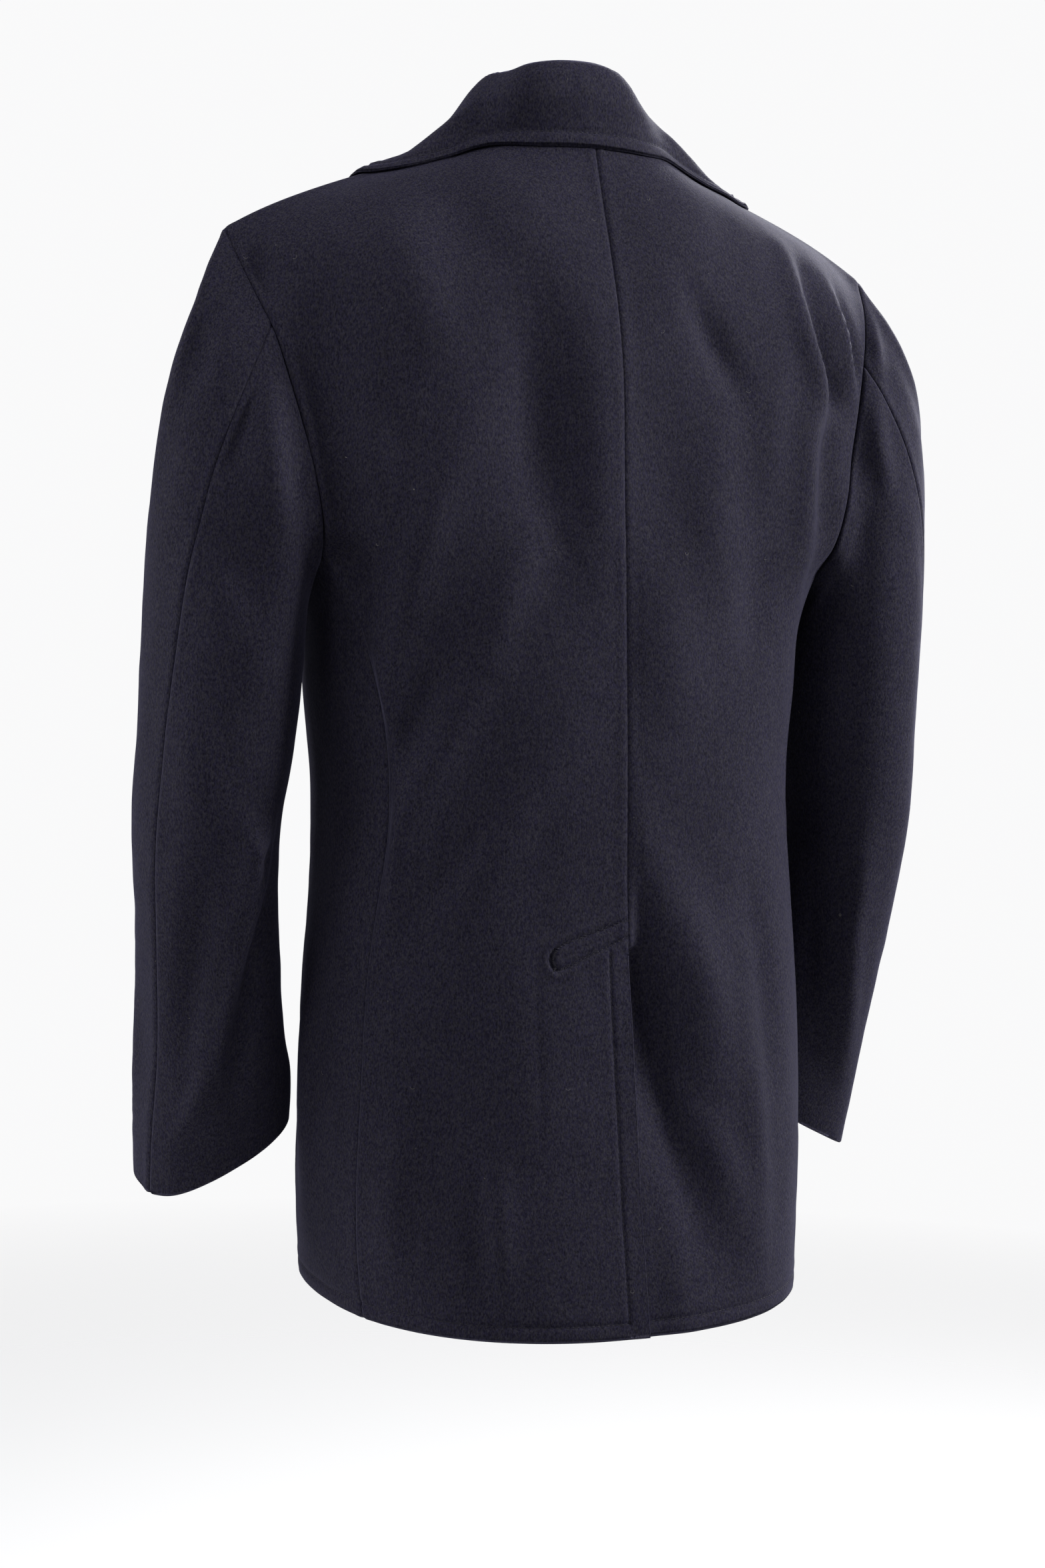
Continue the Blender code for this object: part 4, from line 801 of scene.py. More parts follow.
def creased(name, grid, normals, shared):
    """Height of a piece's own creases at each point, or of those that it shares."""
    height = np.zeros(grid.shape[:2])
    for row in (row for pieces, rows in CREASES.items() for row in rows
                if name in pieces.split() and shared == (" " in pieces)):
        rise, half_width, start, middle, end = (np.array(value) * MM for value in row)
        line = bezier(start, middle, middle, end, np.linspace(0, 1, 60))
        if half_width < SHARP_CREASE:
            line = against(line, grid, normals)
        low, high = line.min(axis=0) - 3 * half_width, line.max(axis=0) + 3 * half_width
        near = ((grid > low) & (grid < high)).all(axis=-1)
        if near.any():
            away, place = line_distance(grid[near], line)
            fade = np.sin(np.pi * np.clip(place * 0.92 + 0.04, 0, 1)) ** 0.7
            height[near] += rise * fade * hump(away, half_width)
    return height


def uneven(grid, size, seed):
    """Smooth random height from -1 to 1 with bumps of about one size."""
    flat = grid.reshape(-1, 3) / size
    values = [noise.noise(Vector(point) + Vector((seed, 0.0, 0.0))) for point in flat]
    return np.array(values).reshape(grid.shape[:2])


def groove(distance, sizes):
    """Cloth drawn in along a seam or a row of stitches, and a little raised beside it."""
    depth, width, pad, pad_place, pad_width = sizes
    return depth * (pad * hump(distance - pad_place, pad_width) - hump(distance, width))


# ---------------------------------------------------------------- cloth shells
WALL_SHARES = (1.0, 0.72, 0.28, 0.0)        # layers of the wall's rim, from the inside out
FREE_PUSH = (-0.45, -0.06, -0.06, -0.45)    # how each one moves out at a turned edge
SEAM_PUSH = (0.35, 0.25, 0.10, 0.0)         # and at a seam


def build_shell(name, outer, inward, free, seams):
    """Closed cloth shell from a grid of outer points and its wall's inward vectors.

    free and seams give, for a side with a turned edge, which is round, or for a sewn one,
    how much of it is so at each point. Inside, a sewn edge reaches a little past the seam.
    """
    nu, nv = outer.shape[:2]
    layers = [outer + inward * share for share in WALL_SHARES]
    steps = len(layers) - 1
    thick = np.linalg.norm(inward, axis=-1).mean()
    for sides, pushes in ((free, FREE_PUSH), (seams, SEAM_PUSH)):
        for side, weight in sides.items():
            edge, beside = from_side(side, outer)[:2]
            out = unit(edge - beside) * np.broadcast_to(np.ravel(weight), len(edge))[:, None]
            for layer, push in zip(layers, pushes):
                from_side(side, layer)[0] += out * thick * push
    u, v = spread(outer)
    bm = bmesh.new()
    bmesh.ops.create_grid(bm, x_segments=nu - 1, y_segments=nv - 1, size=0.5)
    for vertex in bm.verts:
        vertex.co = ((vertex.co.x + 0.5) * (nu - 1), (vertex.co.y + 0.5) * (nv - 1), 0)
    made = bmesh.ops.extrude_face_region(bm, geom=list(bm.faces), use_keep_orig=True)["geom"]
    for item in made:
        if isinstance(item, bmesh.types.BMVert):
            item.co.z = 1
    rim = [edge for edge in bm.edges if edge.verts[0].co.z != edge.verts[1].co.z]
    bmesh.ops.subdivide_edges(bm, edges=rim, cuts=steps - 1)
    maps = bm.loops.layers.uv.new("cloth")
    address = {}
    for vertex in bm.verts:
        address[vertex] = round(vertex.co.x), round(vertex.co.y)
        vertex.co = layers[round(vertex.co.z * steps)][address[vertex]]
    smooth(bm)
    for face in bm.faces:
        for loop in face.loops:
            loop[maps].uv = (u[address[loop.vert]], v[address[loop.vert]])
    bmesh.ops.recalc_face_normals(bm, faces=list(bm.faces))
    put_in_order(bm)
    return finished(name, bm, cloth_material())


def smooth(bm):
    for face in bm.faces:
        face.smooth = True


def put_in_order(bm):
    """List points and faces by place, so that every run lists them alike."""
    for items, spot in ((bm.verts, lambda vertex: vertex.co.to_tuple()),
                        (bm.faces, lambda face: face.calc_center_median().to_tuple())):
        order = {item: k for k, item in enumerate(sorted(items, key=spot))}
        items.sort(key=order.get)


def new_object(name, bm):
    """Object at the origin that takes over a bmesh."""
    mesh = bpy.data.meshes.new(name)
    bm.to_mesh(mesh)
    bm.free()
    thing = bpy.data.objects.new(name, mesh)
    bpy.context.scene.collection.objects.link(thing)
    return thing


def finished(name, bm, material):
    """Piece at the origin from a bmesh, with its material, on the coat's body."""
    thing = new_object(name, bm)
    thing.data.materials.append(material)
    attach(thing, "root")
    return thing


def area_of(grid):
    """Area of a grid of points."""
    one = np.cross(grid[1:, :-1] - grid[:-1, :-1], grid[:-1, 1:] - grid[:-1, :-1])
    two = np.cross(grid[:-1, 1:] - grid[1:, 1:], grid[1:, :-1] - grid[1:, 1:])
    return float((np.linalg.norm(one, axis=-1) + np.linalg.norm(two, axis=-1)).sum() / 2)


def cut_of(grid):
    """Flat cut that a panel comes from: width and length of its rectangle, and its area."""
    u, v = spread(grid)
    width, length = float(u[-1].max()), float(v[:, -1].max())
    area = area_of(grid)
    return (width, max(length, area / width)), min(area, width * length)


def surface_tree(grids):
    """Search tree of outer faces, each given as a grid and the side that it faces."""
    points, faces = [], []
    for grid, facing in grids:
        start, (nu, nv) = len(points), grid.shape[:2]
        points += [Vector(point) for point in grid.reshape(-1, 3)]
        for i in range(nu - 1):
            for j in range(nv - 1):
                ring = [start + a * nv + b for a, b in
                        ((i, j), (i + 1, j), (i + 1, j + 1), (i, j + 1))]
                faces.append(ring if facing > 0 else ring[::-1])
    return BVHTree.FromPolygons(points, faces)


def lifted(grid, first, tree, clearance):
    """The grid with the rows from the first one on raised until its faces clear the tree."""
    out = grid.copy()
    clearance = np.broadcast_to(clearance, grid.shape[:2])
    samples = [(u, v) for u in (0.0, 0.5) for v in (0.0, 0.5)] + [(1.0, 1.0)]
    corners = ((0, 0), (1, 0), (1, 1), (0, 1))
    for _ in range(6):
        rise = np.zeros_like(out)
        for i, j in np.ndindex(grid.shape[0] - 1, grid.shape[1] - 1 - first):
            for u, v in samples:
                shares = ((1 - u) * (1 - v), u * (1 - v), u * v, (1 - u) * v)
                spot = sum(share * out[i + a, j + first + b]
                           for share, (a, b) in zip(shares, corners))
                near, normal, _, distance = tree.find_nearest(Vector(spot))
                lack = clearance[i, j + first] - (Vector(spot) - near).dot(normal)
                if lack <= 0 or distance > LIFT_REACH:
                    continue
                for share, (a, b) in zip(shares, corners):
                    if share > 0 and lack > np.linalg.norm(rise[i + a, j + first + b]):
                        rise[i + a, j + first + b] = np.array(normal) * lack
        out += rise
    return out


def on_front(tree, plan):
    """Points of a front panel under (x, z) places, and the way out of it there."""
    spots = np.empty(plan.shape[:2] + (3,))
    for index in np.ndindex(plan.shape[:2]):
        x, z = plan[index]
        spot = tree.ray_cast(Vector((x, -1.0, z)), Vector((0.0, 1.0, 0.0)))[0]
        spots[index] = spot or tree.find_nearest(Vector((x, -0.10, z)))[0]
    normal = grid_normals(spots)
    return spots, normal * np.sign(-normal[..., 1:2])


def laid_on(tree, plan):
    """Outer points of a piece of cloth that lies on a front panel."""
    spots, normal = on_front(tree, plan)
    return lifted(spots + normal * (CLOTH + SEAM_GAP), 0, tree, CLOTH + LAY_GAP)


def lapel_plan(first=0.0):
    """Left lapel in x and z: columns from the roll line out, rows from the break up.

    first is the first row's place between the lapel's foot, 0, and its top, 1.
    """
    foot, roll_top = (np.array([roll_x(z) + LAPEL_INSET, z])
                      for z in (LAPEL_FOOT_Z, LAPEL_GORGE_Z))
    notch, tip = np.array(LAPEL_NOTCH), np.array(LAPEL_TIP)
    rise = np.linspace(first, 1.0, LAPEL_ROWS + 1)[:, None]
    roll = foot + (roll_top - foot) * rise
    start = foot + LAPEL_START
    belly = start + LAPEL_BELLY
    outer = (1 - rise) ** 2 * start + 2 * rise * (1 - rise) * belly + rise**2 * tip
    share = np.linspace(0.0, 1.0, LAPEL_COLUMNS + 1)
    plan = roll[None] + (outer - roll)[None] * share[:, None, None]
    bend = np.clip(share / LAPEL_BEND, 0.0, 1.0)[:, None]
    rest = np.clip((share - LAPEL_BEND) / (1 - LAPEL_BEND), 0.0, 1.0)[:, None]
    top = roll_top + (notch - roll_top) * bend + (tip - notch) * rest
    plan += (top - plan[:, -1])[:, None] * (rise[:, 0] ** 3)[None, :, None]
    return plan


def right_lapel_plan():
    """Right lapel in x and z, cut off where it goes under the left front."""
    plan = lapel_plan(RIGHT_LAPEL_START) * (-1.0, 1.0)
    for j in range(plan.shape[1]):
        x, z = plan[:, j].T
        inner = min(x[0], roll_x(z[0]) - LAPEL_INSET)
        plan[:, j, 0] = inner + (x[-1] - inner) * np.linspace(0, 1, len(x))
    return plan


def sunk_front(grid, normal):
    """The right front, where the left one laps over it, lies one wall further in."""
    under = smoothstep(*RIGHT_SINKS, grid[..., 0] - roll_x(grid[..., 2]))
    return grid - normal * (under * (CLOTH + LAP_GAP) * (grid[..., 1] < 0.0))[..., None]


# ---------------------------------------------------------------- the coat's panels
SIDES = (("left", np.array, 1), ("right", mirrored, -1))
OUTLINE = ("first_column", "last_column", "first_row", "last_row")
COLLAR_OUTLINE = ("first_column", "last_column", "last_row")


class Coat:
    """Fine outer grids of all panels, made once and shared by the operators."""
    made = None

    @classmethod
    def form(cls):
        if cls.made is None:
            cls.made = cls()
        return cls.made

    def __init__(self):
        back, front, sleeve = back_grid(), front_grid(), sleeve_grid()
        self.coarse = back, front
        self.fronts = {}
        elbow, forearm = ELBOW_SEAM_STEP, len(sleeve) - 1 - FOREARM_SEAM_STEP
        rows = ARMHOLE_ROWS + YOKE_ROWS
        side = through(back[-1, :BODY_ROWS + 1],
                       np.linspace(0, BODY_ROWS, BODY_ROWS * FINE_STEPS + 1))
        shares = np.linspace(0, 1, rows * FINE_STEPS + 1)
        arms = [along(points, shares) for points in (ARMHOLE_BACK, ARMHOLE_FRONT)]
        shoulder = shoulder_line(BACK_SHOULDER_COLUMNS * FINE_STEPS)

        top = np.concatenate([neckline(BACK_NECK_COLUMNS * FINE_STEPS), shoulder[1:]])
        self.back = self.panel(refined(back), side, arms[0], top)
        seam = along(shoulder, np.linspace(0, 1, FRONT_COLUMNS * FINE_STEPS + 1))
        self.front = self.panel(refined(front), side, arms[1], seam)

        fine_sleeve = refined(sleeve, closed=True)
        loop = np.concatenate([arms[0], arms[1][-2::-1]])
        fine_sleeve = drawn_to(fine_sleeve, "first_row", loop, 2 * FINE_STEPS)
        first, last = elbow * FINE_STEPS, forearm * FINE_STEPS
        self.top_sleeve = self.sleeve(fine_sleeve[first:last + 1])
        self.under_sleeve = self.sleeve(
            np.concatenate([fine_sleeve[last:-1], fine_sleeve[:first + 1]]))

    def panel(self, fine, side, arm, top):
        """A back or front on its exact borders, with points close to seams and stitches."""
        split = BODY_ROWS * FINE_STEPS
        fine = drawn_to(fine, "last_column", np.concatenate([side, arm[1:]]), FINE_STEPS)
        fine = drawn_to(fine, "last_row", top, FINE_STEPS)
        lower = respaced(fine[:, :split + 1].swapaxes(0, 1), NEAR_STITCH, (0.0,), SPACING)
        upper = respaced(fine[:, split:].swapaxes(0, 1), (0.0,), NEAR_SEAM, SPACING)
        rows = np.concatenate([lower, upper[1:]])
        return respaced(rows.swapaxes(0, 1), NEAR_VENT, NEAR_SEAM, SPACING)

    def sleeve(self, fine):
        return respaced_both(fine.swapaxes(0, 1), (NEAR_SEAM, NEAR_STITCH),
                             (NEAR_SEAM, NEAR_SEAM), SLEEVE_SPACING).swapaxes(0, 1)


def from_edges(grid):
    """Distance over the cloth from each side of a panel."""
    u, v = spread(grid)
    return {"first_column": u, "last_column": u[-1] - u,
            "first_row": v, "last_row": v[:, -1:] - v}


def cloth_normals(grid, facing):
    """Outward normals; on the centre seam they keep to the middle, alike on both halves."""
    normals = facing * grid_normals(grid)
    centre = np.abs(grid[..., 0]) < 1e-5
    normals[centre, 0] = 0.0
    return unit(normals)


def worn(name, grid, facing, seams, lines=()):
    """The panel with its creases, seam dips, stitched lines and small unevenness.

    seams gives each sewn side and how far it is sewn there, from 0 to 1. lines gives the
    distance to each stitched line, and where it is sewn.
    """
    normals = cloth_normals(grid, facing)
    away = from_edges(grid)
    nearest = np.minimum.reduce([away[side] + 0.02 * (1 - weight) for side, weight in seams.items()]
                                + [np.ones(grid.shape[:2])])
    height = creased(name, grid, normals, shared=False)
    height += sum(rise * uneven(grid, size, seed) for rise, size, seed in UNEVENNESS)
    height *= smoothstep(0.0, CREASE_FADE, nearest)
    height += creased(name, grid, normals, shared=True)
    for side, weight in seams.items():
        height += groove(away[side], SEAM_GROOVE) * weight
    for distance, weight in lines:
        height += groove(distance, STITCH_GROOVE) * weight
    return grid + normals * height[..., None]


def stitched(grid, side, distance, weight=1.0):
    """A stitched line along a side: distance to it, and where it is sewn."""
    return np.abs(from_edges(grid)[side] - distance), weight


def wall_of(grid, facing, thick=CLOTH):
    """Inward vectors of a wall, evened out so that a sharp fold doesn't cross itself."""
    normals = cloth_normals(grid, facing)
    for _ in range(3):
        normals[1:-1, 1:-1] = unit(normals[1:-1, 1:-1] * 2 + normals[:-2, 1:-1] + normals[2:, 1:-1]
                                   + normals[1:-1, :-2] + normals[1:-1, 2:])
    return -np.reshape(thick, np.shape(thick) + (1,)) * normals


def weights(sides):
    """Sides and how far each one counts, from 0 to 1; sides alone count in full."""
    return sides if isinstance(sides, dict) else dict.fromkeys(sides, 1.0)


def make_panel(name, grid, facing, seams, free, lines=(), thick=CLOTH):
    shaped = worn(name, grid, facing, weights(seams), lines)
    flat, area = cut_of(grid)
    shell = build_shell(name + "_cloth", shaped, wall_of(shaped, facing, thick),
                        weights(free), weights(seams))
    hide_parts(name)
    return shaped


# ---------------------------------------------------------------- the wool
def cloth_material():
    return bpy.data.materials.get("milled_wool") or melton()


def node_group(name, inputs, outputs):
    """Empty shader group with its input and output nodes; its outputs are plain numbers."""
    group = bpy.data.node_groups.new(name, "ShaderNodeTree")
    for label, kind, value in inputs:
        socket = group.interface.new_socket(name=label, in_out="INPUT", socket_type=kind)
        if value is not None:
            socket.default_value = value
    for label in outputs:
        group.interface.new_socket(name=label, in_out="OUTPUT", socket_type="NodeSocketFloat")
    return group, group.nodes.new("NodeGroupInput"), group.nodes.new("NodeGroupOutput")


def put(tree, kind, links=(), **values):
    """New node with its properties, its sockets' values and what feeds them."""
    node = tree.nodes.new(kind)
    for key, value in values.items():
        setattr(node, key, value)
    for socket, source in links:
        if isinstance(source, bpy.types.NodeSocket):
            tree.links.new(source, node.inputs[socket])
        else:
            node.inputs[socket].default_value = source
    return node


def new_material(name, roughness, specular=0.5, colour=(0.8, 0.8, 0.8)):
    """Material, its nodes and shader, and its object's coordinates."""
    material = bpy.data.materials.new(name)
    material.use_nodes = True
    tree = material.node_tree
    shader = tree.nodes["Principled BSDF"]
    shader.inputs["Base Color"].default_value = (*colour, 1.0)
    shader.inputs["Roughness"].default_value = roughness
    shader.inputs["Specular IOR Level"].default_value = specular
    return material, tree, shader, put(tree, "ShaderNodeTexCoord").outputs["Object"]


def dress(tree, shader, colour, height, strength, distance):
    """The shader's colour, and a bump from a height."""
    tree.links.new(colour, shader.inputs["Base Color"])
    bump = put(tree, "ShaderNodeBump",
               [("Height", height), ("Strength", strength), ("Distance", distance)])
    tree.links.new(bump.outputs[0], shader.inputs["Normal"])


def maths(tree, operation, *sources):
    return put(tree, "ShaderNodeMath", list(enumerate(sources)), operation=operation).outputs[0]


def stretched_noise(tree, coordinates, scale, detail, roughness=0.55):
    """Noise on coordinates, with a scale for each axis in bumps per metre."""
    mapped = put(tree, "ShaderNodeMapping", [("Vector", coordinates), ("Scale", scale)])
    return put(tree, "ShaderNodeTexNoise",
               [("Vector", mapped.outputs[0]), ("Scale", 1.0), ("Detail", detail),
                ("Roughness", roughness)]).outputs[0]


def nap_group():
    """Brushed wool: short upright strands, felted clumps and their height."""
    tree, given, out = node_group("wool_nap", [("Coordinates", "NodeSocketVector", None)],
                                  ("Strands", "Clumps", "Drift", "Height"))
    place = given.outputs[0]
    strands = stretched_noise(tree, place, (1150, 1150, 520), 2.0, 0.6)
    hairs = stretched_noise(tree, place, (2300, 2300, 900), 2.0, 0.6)
    clumps = stretched_noise(tree, place, (640, 640, 400), 1.0)
    drift = stretched_noise(tree, place, (16, 16, 11), 2.0)
    height = maths(tree, "ADD", maths(tree, "MULTIPLY", strands, 0.6),
                   maths(tree, "ADD", maths(tree, "MULTIPLY", hairs, 0.25),
                         maths(tree, "MULTIPLY", clumps, 0.45)))
    for value, socket in zip((strands, clumps, drift, height), out.inputs):
        tree.links.new(value, socket)
    return tree


def lint_group():
    """Sparse short hairs and specks of lint: a mask from 0 to 1."""
    tree, given, out = node_group("lint", [("Coordinates", "NodeSocketVector", None),
                                           ("Amount", "NodeSocketFloat", 0.2)], ("Mask",))
    masks = []
    for cells, ring, width, share in ((55.0, 0.0016, 0.00013, 0.55), (75.0, 0.0, 0.00042, 1.0)):
        cell = put(tree, "ShaderNodeTexVoronoi", [("Vector", given.outputs[0]), ("Scale", cells)])
        away = put(tree, "ShaderNodeVectorMath",
                   [(0, given.outputs[0]), (1, cell.outputs["Position"])], operation="SUBTRACT")
        length = put(tree, "ShaderNodeVectorMath", [(0, away.outputs[0])], operation="LENGTH")
        off = maths(tree, "ABSOLUTE", maths(tree, "SUBTRACT", length.outputs["Value"], ring))
        thin = maths(tree, "SUBTRACT", 1.0, maths(tree, "DIVIDE", off, width))
        thin = put(tree, "ShaderNodeClamp", [("Value", thin)]).outputs[0]
        if ring:
            random_way = put(tree, "ShaderNodeVectorMath",
                             [(0, cell.outputs["Color"]), (1, (0.5, 0.5, 0.5))],
                             operation="SUBTRACT")
            along_way = put(tree, "ShaderNodeVectorMath",
                            [(0, random_way.outputs[0]), (1, away.outputs[0])],
                            operation="DOT_PRODUCT")
            part = maths(tree, "GREATER_THAN", along_way.outputs["Value"], 0.0003)
            thin = maths(tree, "MULTIPLY", thin, part)
        picked = put(tree, "ShaderNodeSeparateXYZ", [("Vector", cell.outputs["Color"])])
        chosen = maths(tree, "LESS_THAN", picked.outputs[2],
                       maths(tree, "MULTIPLY", given.outputs[1], share))
        masks.append(maths(tree, "MULTIPLY", thin, chosen))
    tree.links.new(maths(tree, "MAXIMUM", *masks), out.inputs[0])
    return tree


def mixed(tree, factor, first, second, blend="MIX"):
    return put(tree, "ShaderNodeMix", [(0, factor), (6, first), (7, second)],
               data_type="RGBA", blend_type=blend).outputs[2]


def banded(tree, value, low, high, out_low=0.0, out_high=1.0):
    """Value taken from one band to another, and kept inside it."""
    return put(tree, "ShaderNodeMapRange",
               [("Value", value), ("From Min", low), ("From Max", high),
                ("To Min", out_low), ("To Max", out_high)]).outputs[0]


def melton():
    """Dark milled wool: blue and brownish strands, a short brushed nap and a little lint."""
    sizes = bpy.context.scene.coat_cloth
    material, tree, shader, place = new_material("milled_wool", 0.88, 0.06)
    strands, clumps, drift, height = put(tree, "ShaderNodeGroup", [(0, place)],
                                         node_tree=nap_group()).outputs
    colour = mixed(tree, banded(tree, clumps, 0.38, 0.62), (*sizes.blue, 1), (*sizes.brown, 1))
    light = maths(tree, "ADD", banded(tree, strands, 0.3, 0.7, -0.56, 0.56),
                  banded(tree, clumps, 0.3, 0.7, 0.88, 1.12))
    light = maths(tree, "MULTIPLY", light, banded(tree, drift, 0.3, 0.7, 0.93, 1.07))
    shade = put(tree, "ShaderNodeCombineColor", [(0, light), (1, light), (2, light)]).outputs[0]
    colour = mixed(tree, 1.0, colour, shade, "MULTIPLY")
    lint = put(tree, "ShaderNodeGroup", [(0, place), (1, sizes.lint)], node_tree=lint_group())
    lint = maths(tree, "MULTIPLY", lint.outputs[0], 0.72)
    colour = mixed(tree, lint, colour, (0.22, 0.21, 0.19, 1))
    shader.inputs["Sheen Weight"].default_value = sizes.sheen
    shader.inputs["Sheen Roughness"].default_value = 0.30
    shader.inputs["Sheen Tint"].default_value = (0.60, 0.58, 0.96, 1)
    dress(tree, shader, colour, height, 0.55, 0.0006)
    return material


# ---------------------------------------------------------------- settings
COLOUR = {"subtype": "COLOR", "size": 3, "min": 0.0, "max": 1.0}
SHARE = {"subtype": "FACTOR", "min": 0.0, "max": 1.0}
LENGTH = {"unit": "LENGTH", "precision": 5}


class ClothSettings(bpy.types.PropertyGroup):
    """Colours and finish of the wool"""
    blue: FloatVectorProperty(name="Blue strands", description="Colour of the blue wool",
                              default=(0.0164, 0.0150, 0.0298), **COLOUR)
    brown: FloatVectorProperty(name="Brown strands", description="Colour of the brownish wool",
                               default=(0.0216, 0.0202, 0.0284), **COLOUR)
    lint: FloatProperty(name="Lint", description="Share of places that carry a hair or a speck",
                        default=0.20, **SHARE)
    sheen: FloatProperty(name="Sheen", description="Strength of the soft light off the nap",
                         default=0.09, **SHARE)


class StitchSettings(bpy.types.PropertyGroup):
    """Sewing thread and the rows of stitches"""
    length: FloatProperty(name="Stitch length", description="Length of one stitch on the cloth",
                          default=0.0026, min=0.001, max=0.01, **LENGTH)
    pitch: FloatProperty(name="Stitch pitch", description="From one stitch to the next",
                         default=0.0034, min=0.0015, max=0.02, **LENGTH)
    thread: FloatProperty(name="Thread radius", description="Half of the thread's thickness",
                          default=0.00032, min=0.0001, max=0.001, **LENGTH)
    dark: FloatVectorProperty(name="Thread, dark", description="Thread colour in its twist",
                              default=(0.008, 0.0072, 0.013), **COLOUR)
    light: FloatVectorProperty(name="Thread, light", description="Thread colour on its strands",
                               default=(0.017, 0.0155, 0.026), **COLOUR)


class ButtonSettings(bpy.types.PropertyGroup):
    """Sizes and colours of the buttons and buttonholes"""
    radius: FloatProperty(name="Button radius", description="Half of a button's width",
                          default=0.0155, min=0.005, max=0.03, **LENGTH)
    hole: FloatProperty(name="Hole radius", description="Half of a sewing hole's width",
                        default=0.0011, min=0.0005, max=0.002, **LENGTH)
    buttonhole: FloatProperty(name="Buttonhole length", description="Length of a buttonhole",
                              default=0.030, min=0.01, max=0.05, **LENGTH)
    dark: FloatVectorProperty(name="Horn, dark", description="Ground colour of the horn",
                              default=(0.0075, 0.0070, 0.0085), **COLOUR)
    cloud: FloatVectorProperty(name="Horn, clouds", description="Colour of its cloudy streaks",
                               default=(0.034, 0.028, 0.026), **COLOUR)


class StageSettings(bpy.types.PropertyGroup):
    """Floor, backdrop and lights"""
    floor: FloatVectorProperty(name="Floor", description="Colour of the floor",
                               default=(0.62, 0.62, 0.625), **COLOUR)
    backdrop: FloatVectorProperty(name="Backdrop", description="Colour seen behind the coat",
                                  default=(0.95, 0.95, 0.955), **COLOUR)
    power: FloatProperty(name="Light power", description="Share of the lamps' own power",
                         default=1.0, min=0, max=4, subtype="FACTOR")


# ---------------------------------------------------------------- body and sleeves
def vent_part(grid):
    """Share of the centre back line that is open as a vent, at each row."""
    z = grid[:1, :, 2]
    return 1 - smoothstep(VENT_TOP_Z - 0.006, VENT_TOP_Z, z)


def finer(grid, columns, rows, parts=3):
    """Grid with the steps of a range of columns and of rows split."""
    for low, high in (columns, rows):
        split = np.arange(low * parts, high * parts + 1) / parts
        at = np.concatenate([np.arange(0, low), split, np.arange(high + 1, len(grid))])
        grid = through(grid, at).swapaxes(0, 1)
    return grid


def under_vent(grid, normal):
    """The right back slips under the left one's edge along the vent."""
    lapped = 1 - smoothstep(*VENT_UNDER, spread(grid)[0])
    down = 1 - smoothstep(VENT_TOP_Z - VENT_UNDER_FADE, VENT_TOP_Z, grid[..., 2])
    return grid - normal * (lapped * down * (CLOTH + SEAM_GAP + VENT_DROP))[..., None]


def over_vent(grid, normal):
    """The left back's vent edge stands a little off the layer under it."""
    beside = hump(spread(grid)[0], VENT_OVER)
    down = 1 - smoothstep(VENT_TOP_Z - VENT_OVER_FADE, VENT_TOP_Z, grid[..., 2])
    wave = 0.5 + 0.5 * np.sin(grid[..., 2] * 31.0 + 0.6)
    return grid + normal * (beside * down * (VENT_LIFT[0] + VENT_LIFT[1] * wave))[..., None]


def finer_at_tack(grid):
    """Grid with smaller steps round the vent's top."""
    z = grid[0, :, 2]
    rows = np.flatnonzero((z > TACK_Z[0]) & (z < TACK_Z[1]))
    columns = int(np.searchsorted(spread(grid)[0][:, TACK_ROW], TACK_X))
    return finer(grid, (0, columns), (rows[0], rows[-1]))


def lower_part(points, normals, top_z):
    """Part of a row of stitches between the hem's row and a height."""
    keep = points[:, 2] < top_z
    return trimmed(points[keep], normals[keep], EDGE_STITCH, 0.0)


class COAT_OT_backs(bpy.types.Operator):
    """Make the two back panels, the vent's edge and its stitching"""
    bl_idname = "coat.backs"
    bl_label = "Backs"

    def execute(self, context):
        coat = Coat.form()
        band, tack = (through(np.array(line) * MM, np.linspace(0, len(line) - 1, count))
                      for line, count in ((VENT_BAND, 120), (VENT_TACK, 30)))
        for side, place, sign in SIDES:
            left = side == "left"
            grid = finer_at_tack(place(coat.back)) if left else place(coat.back)
            grid = (over_vent if left else under_vent)(grid, -sign * grid_normals(grid))
            vent, away = vent_part(grid), from_edges(grid)
            lines = [stitched(grid, "first_row", EDGE_STITCH,
                              smoothstep(0.012, 0.015, away["first_column"]) if left else 1.0)]
            if left:
                sewn = smoothstep(0.009, 0.011, away["first_row"]) * (grid[..., 2] < VENT_ROW_TOP_Z)
                lines += [stitched(grid, "first_column", VENT_STITCH, sewn),
                          (line_distance(grid, band)[0], BAND_PRESS),
                          (line_distance(grid, tack)[0], TACK_PRESS)]
            shaped = make_panel("back_" + side, grid, -sign,
                                {"first_column": 1 - vent, "last_column": 1.0, "last_row": 1.0},
                                {"first_row": 1.0, "first_column": vent}, lines)
            pieces = [trimmed(*line_at(shaped, -sign, "first_row", EDGE_STITCH),
                              VENT_STITCH if left else CENTRE_END, LINE_END)]
            if left:
                tree = surface_tree([(shaped, -1)])
                pieces += [lower_part(*line_at(shaped, -1, "first_column", VENT_STITCH),
                                      VENT_ROW_TOP_Z), on_cloth(tree, band)]
                sew_across("vent_tack", *on_cloth(tree, tack), TACK_PITCH, TACK_LIFT,
                           TACK_WIDTH, context.scene.coat_stitches.thread)
            sew("back_%s_stitches" % side, pieces)
        return {"FINISHED"}


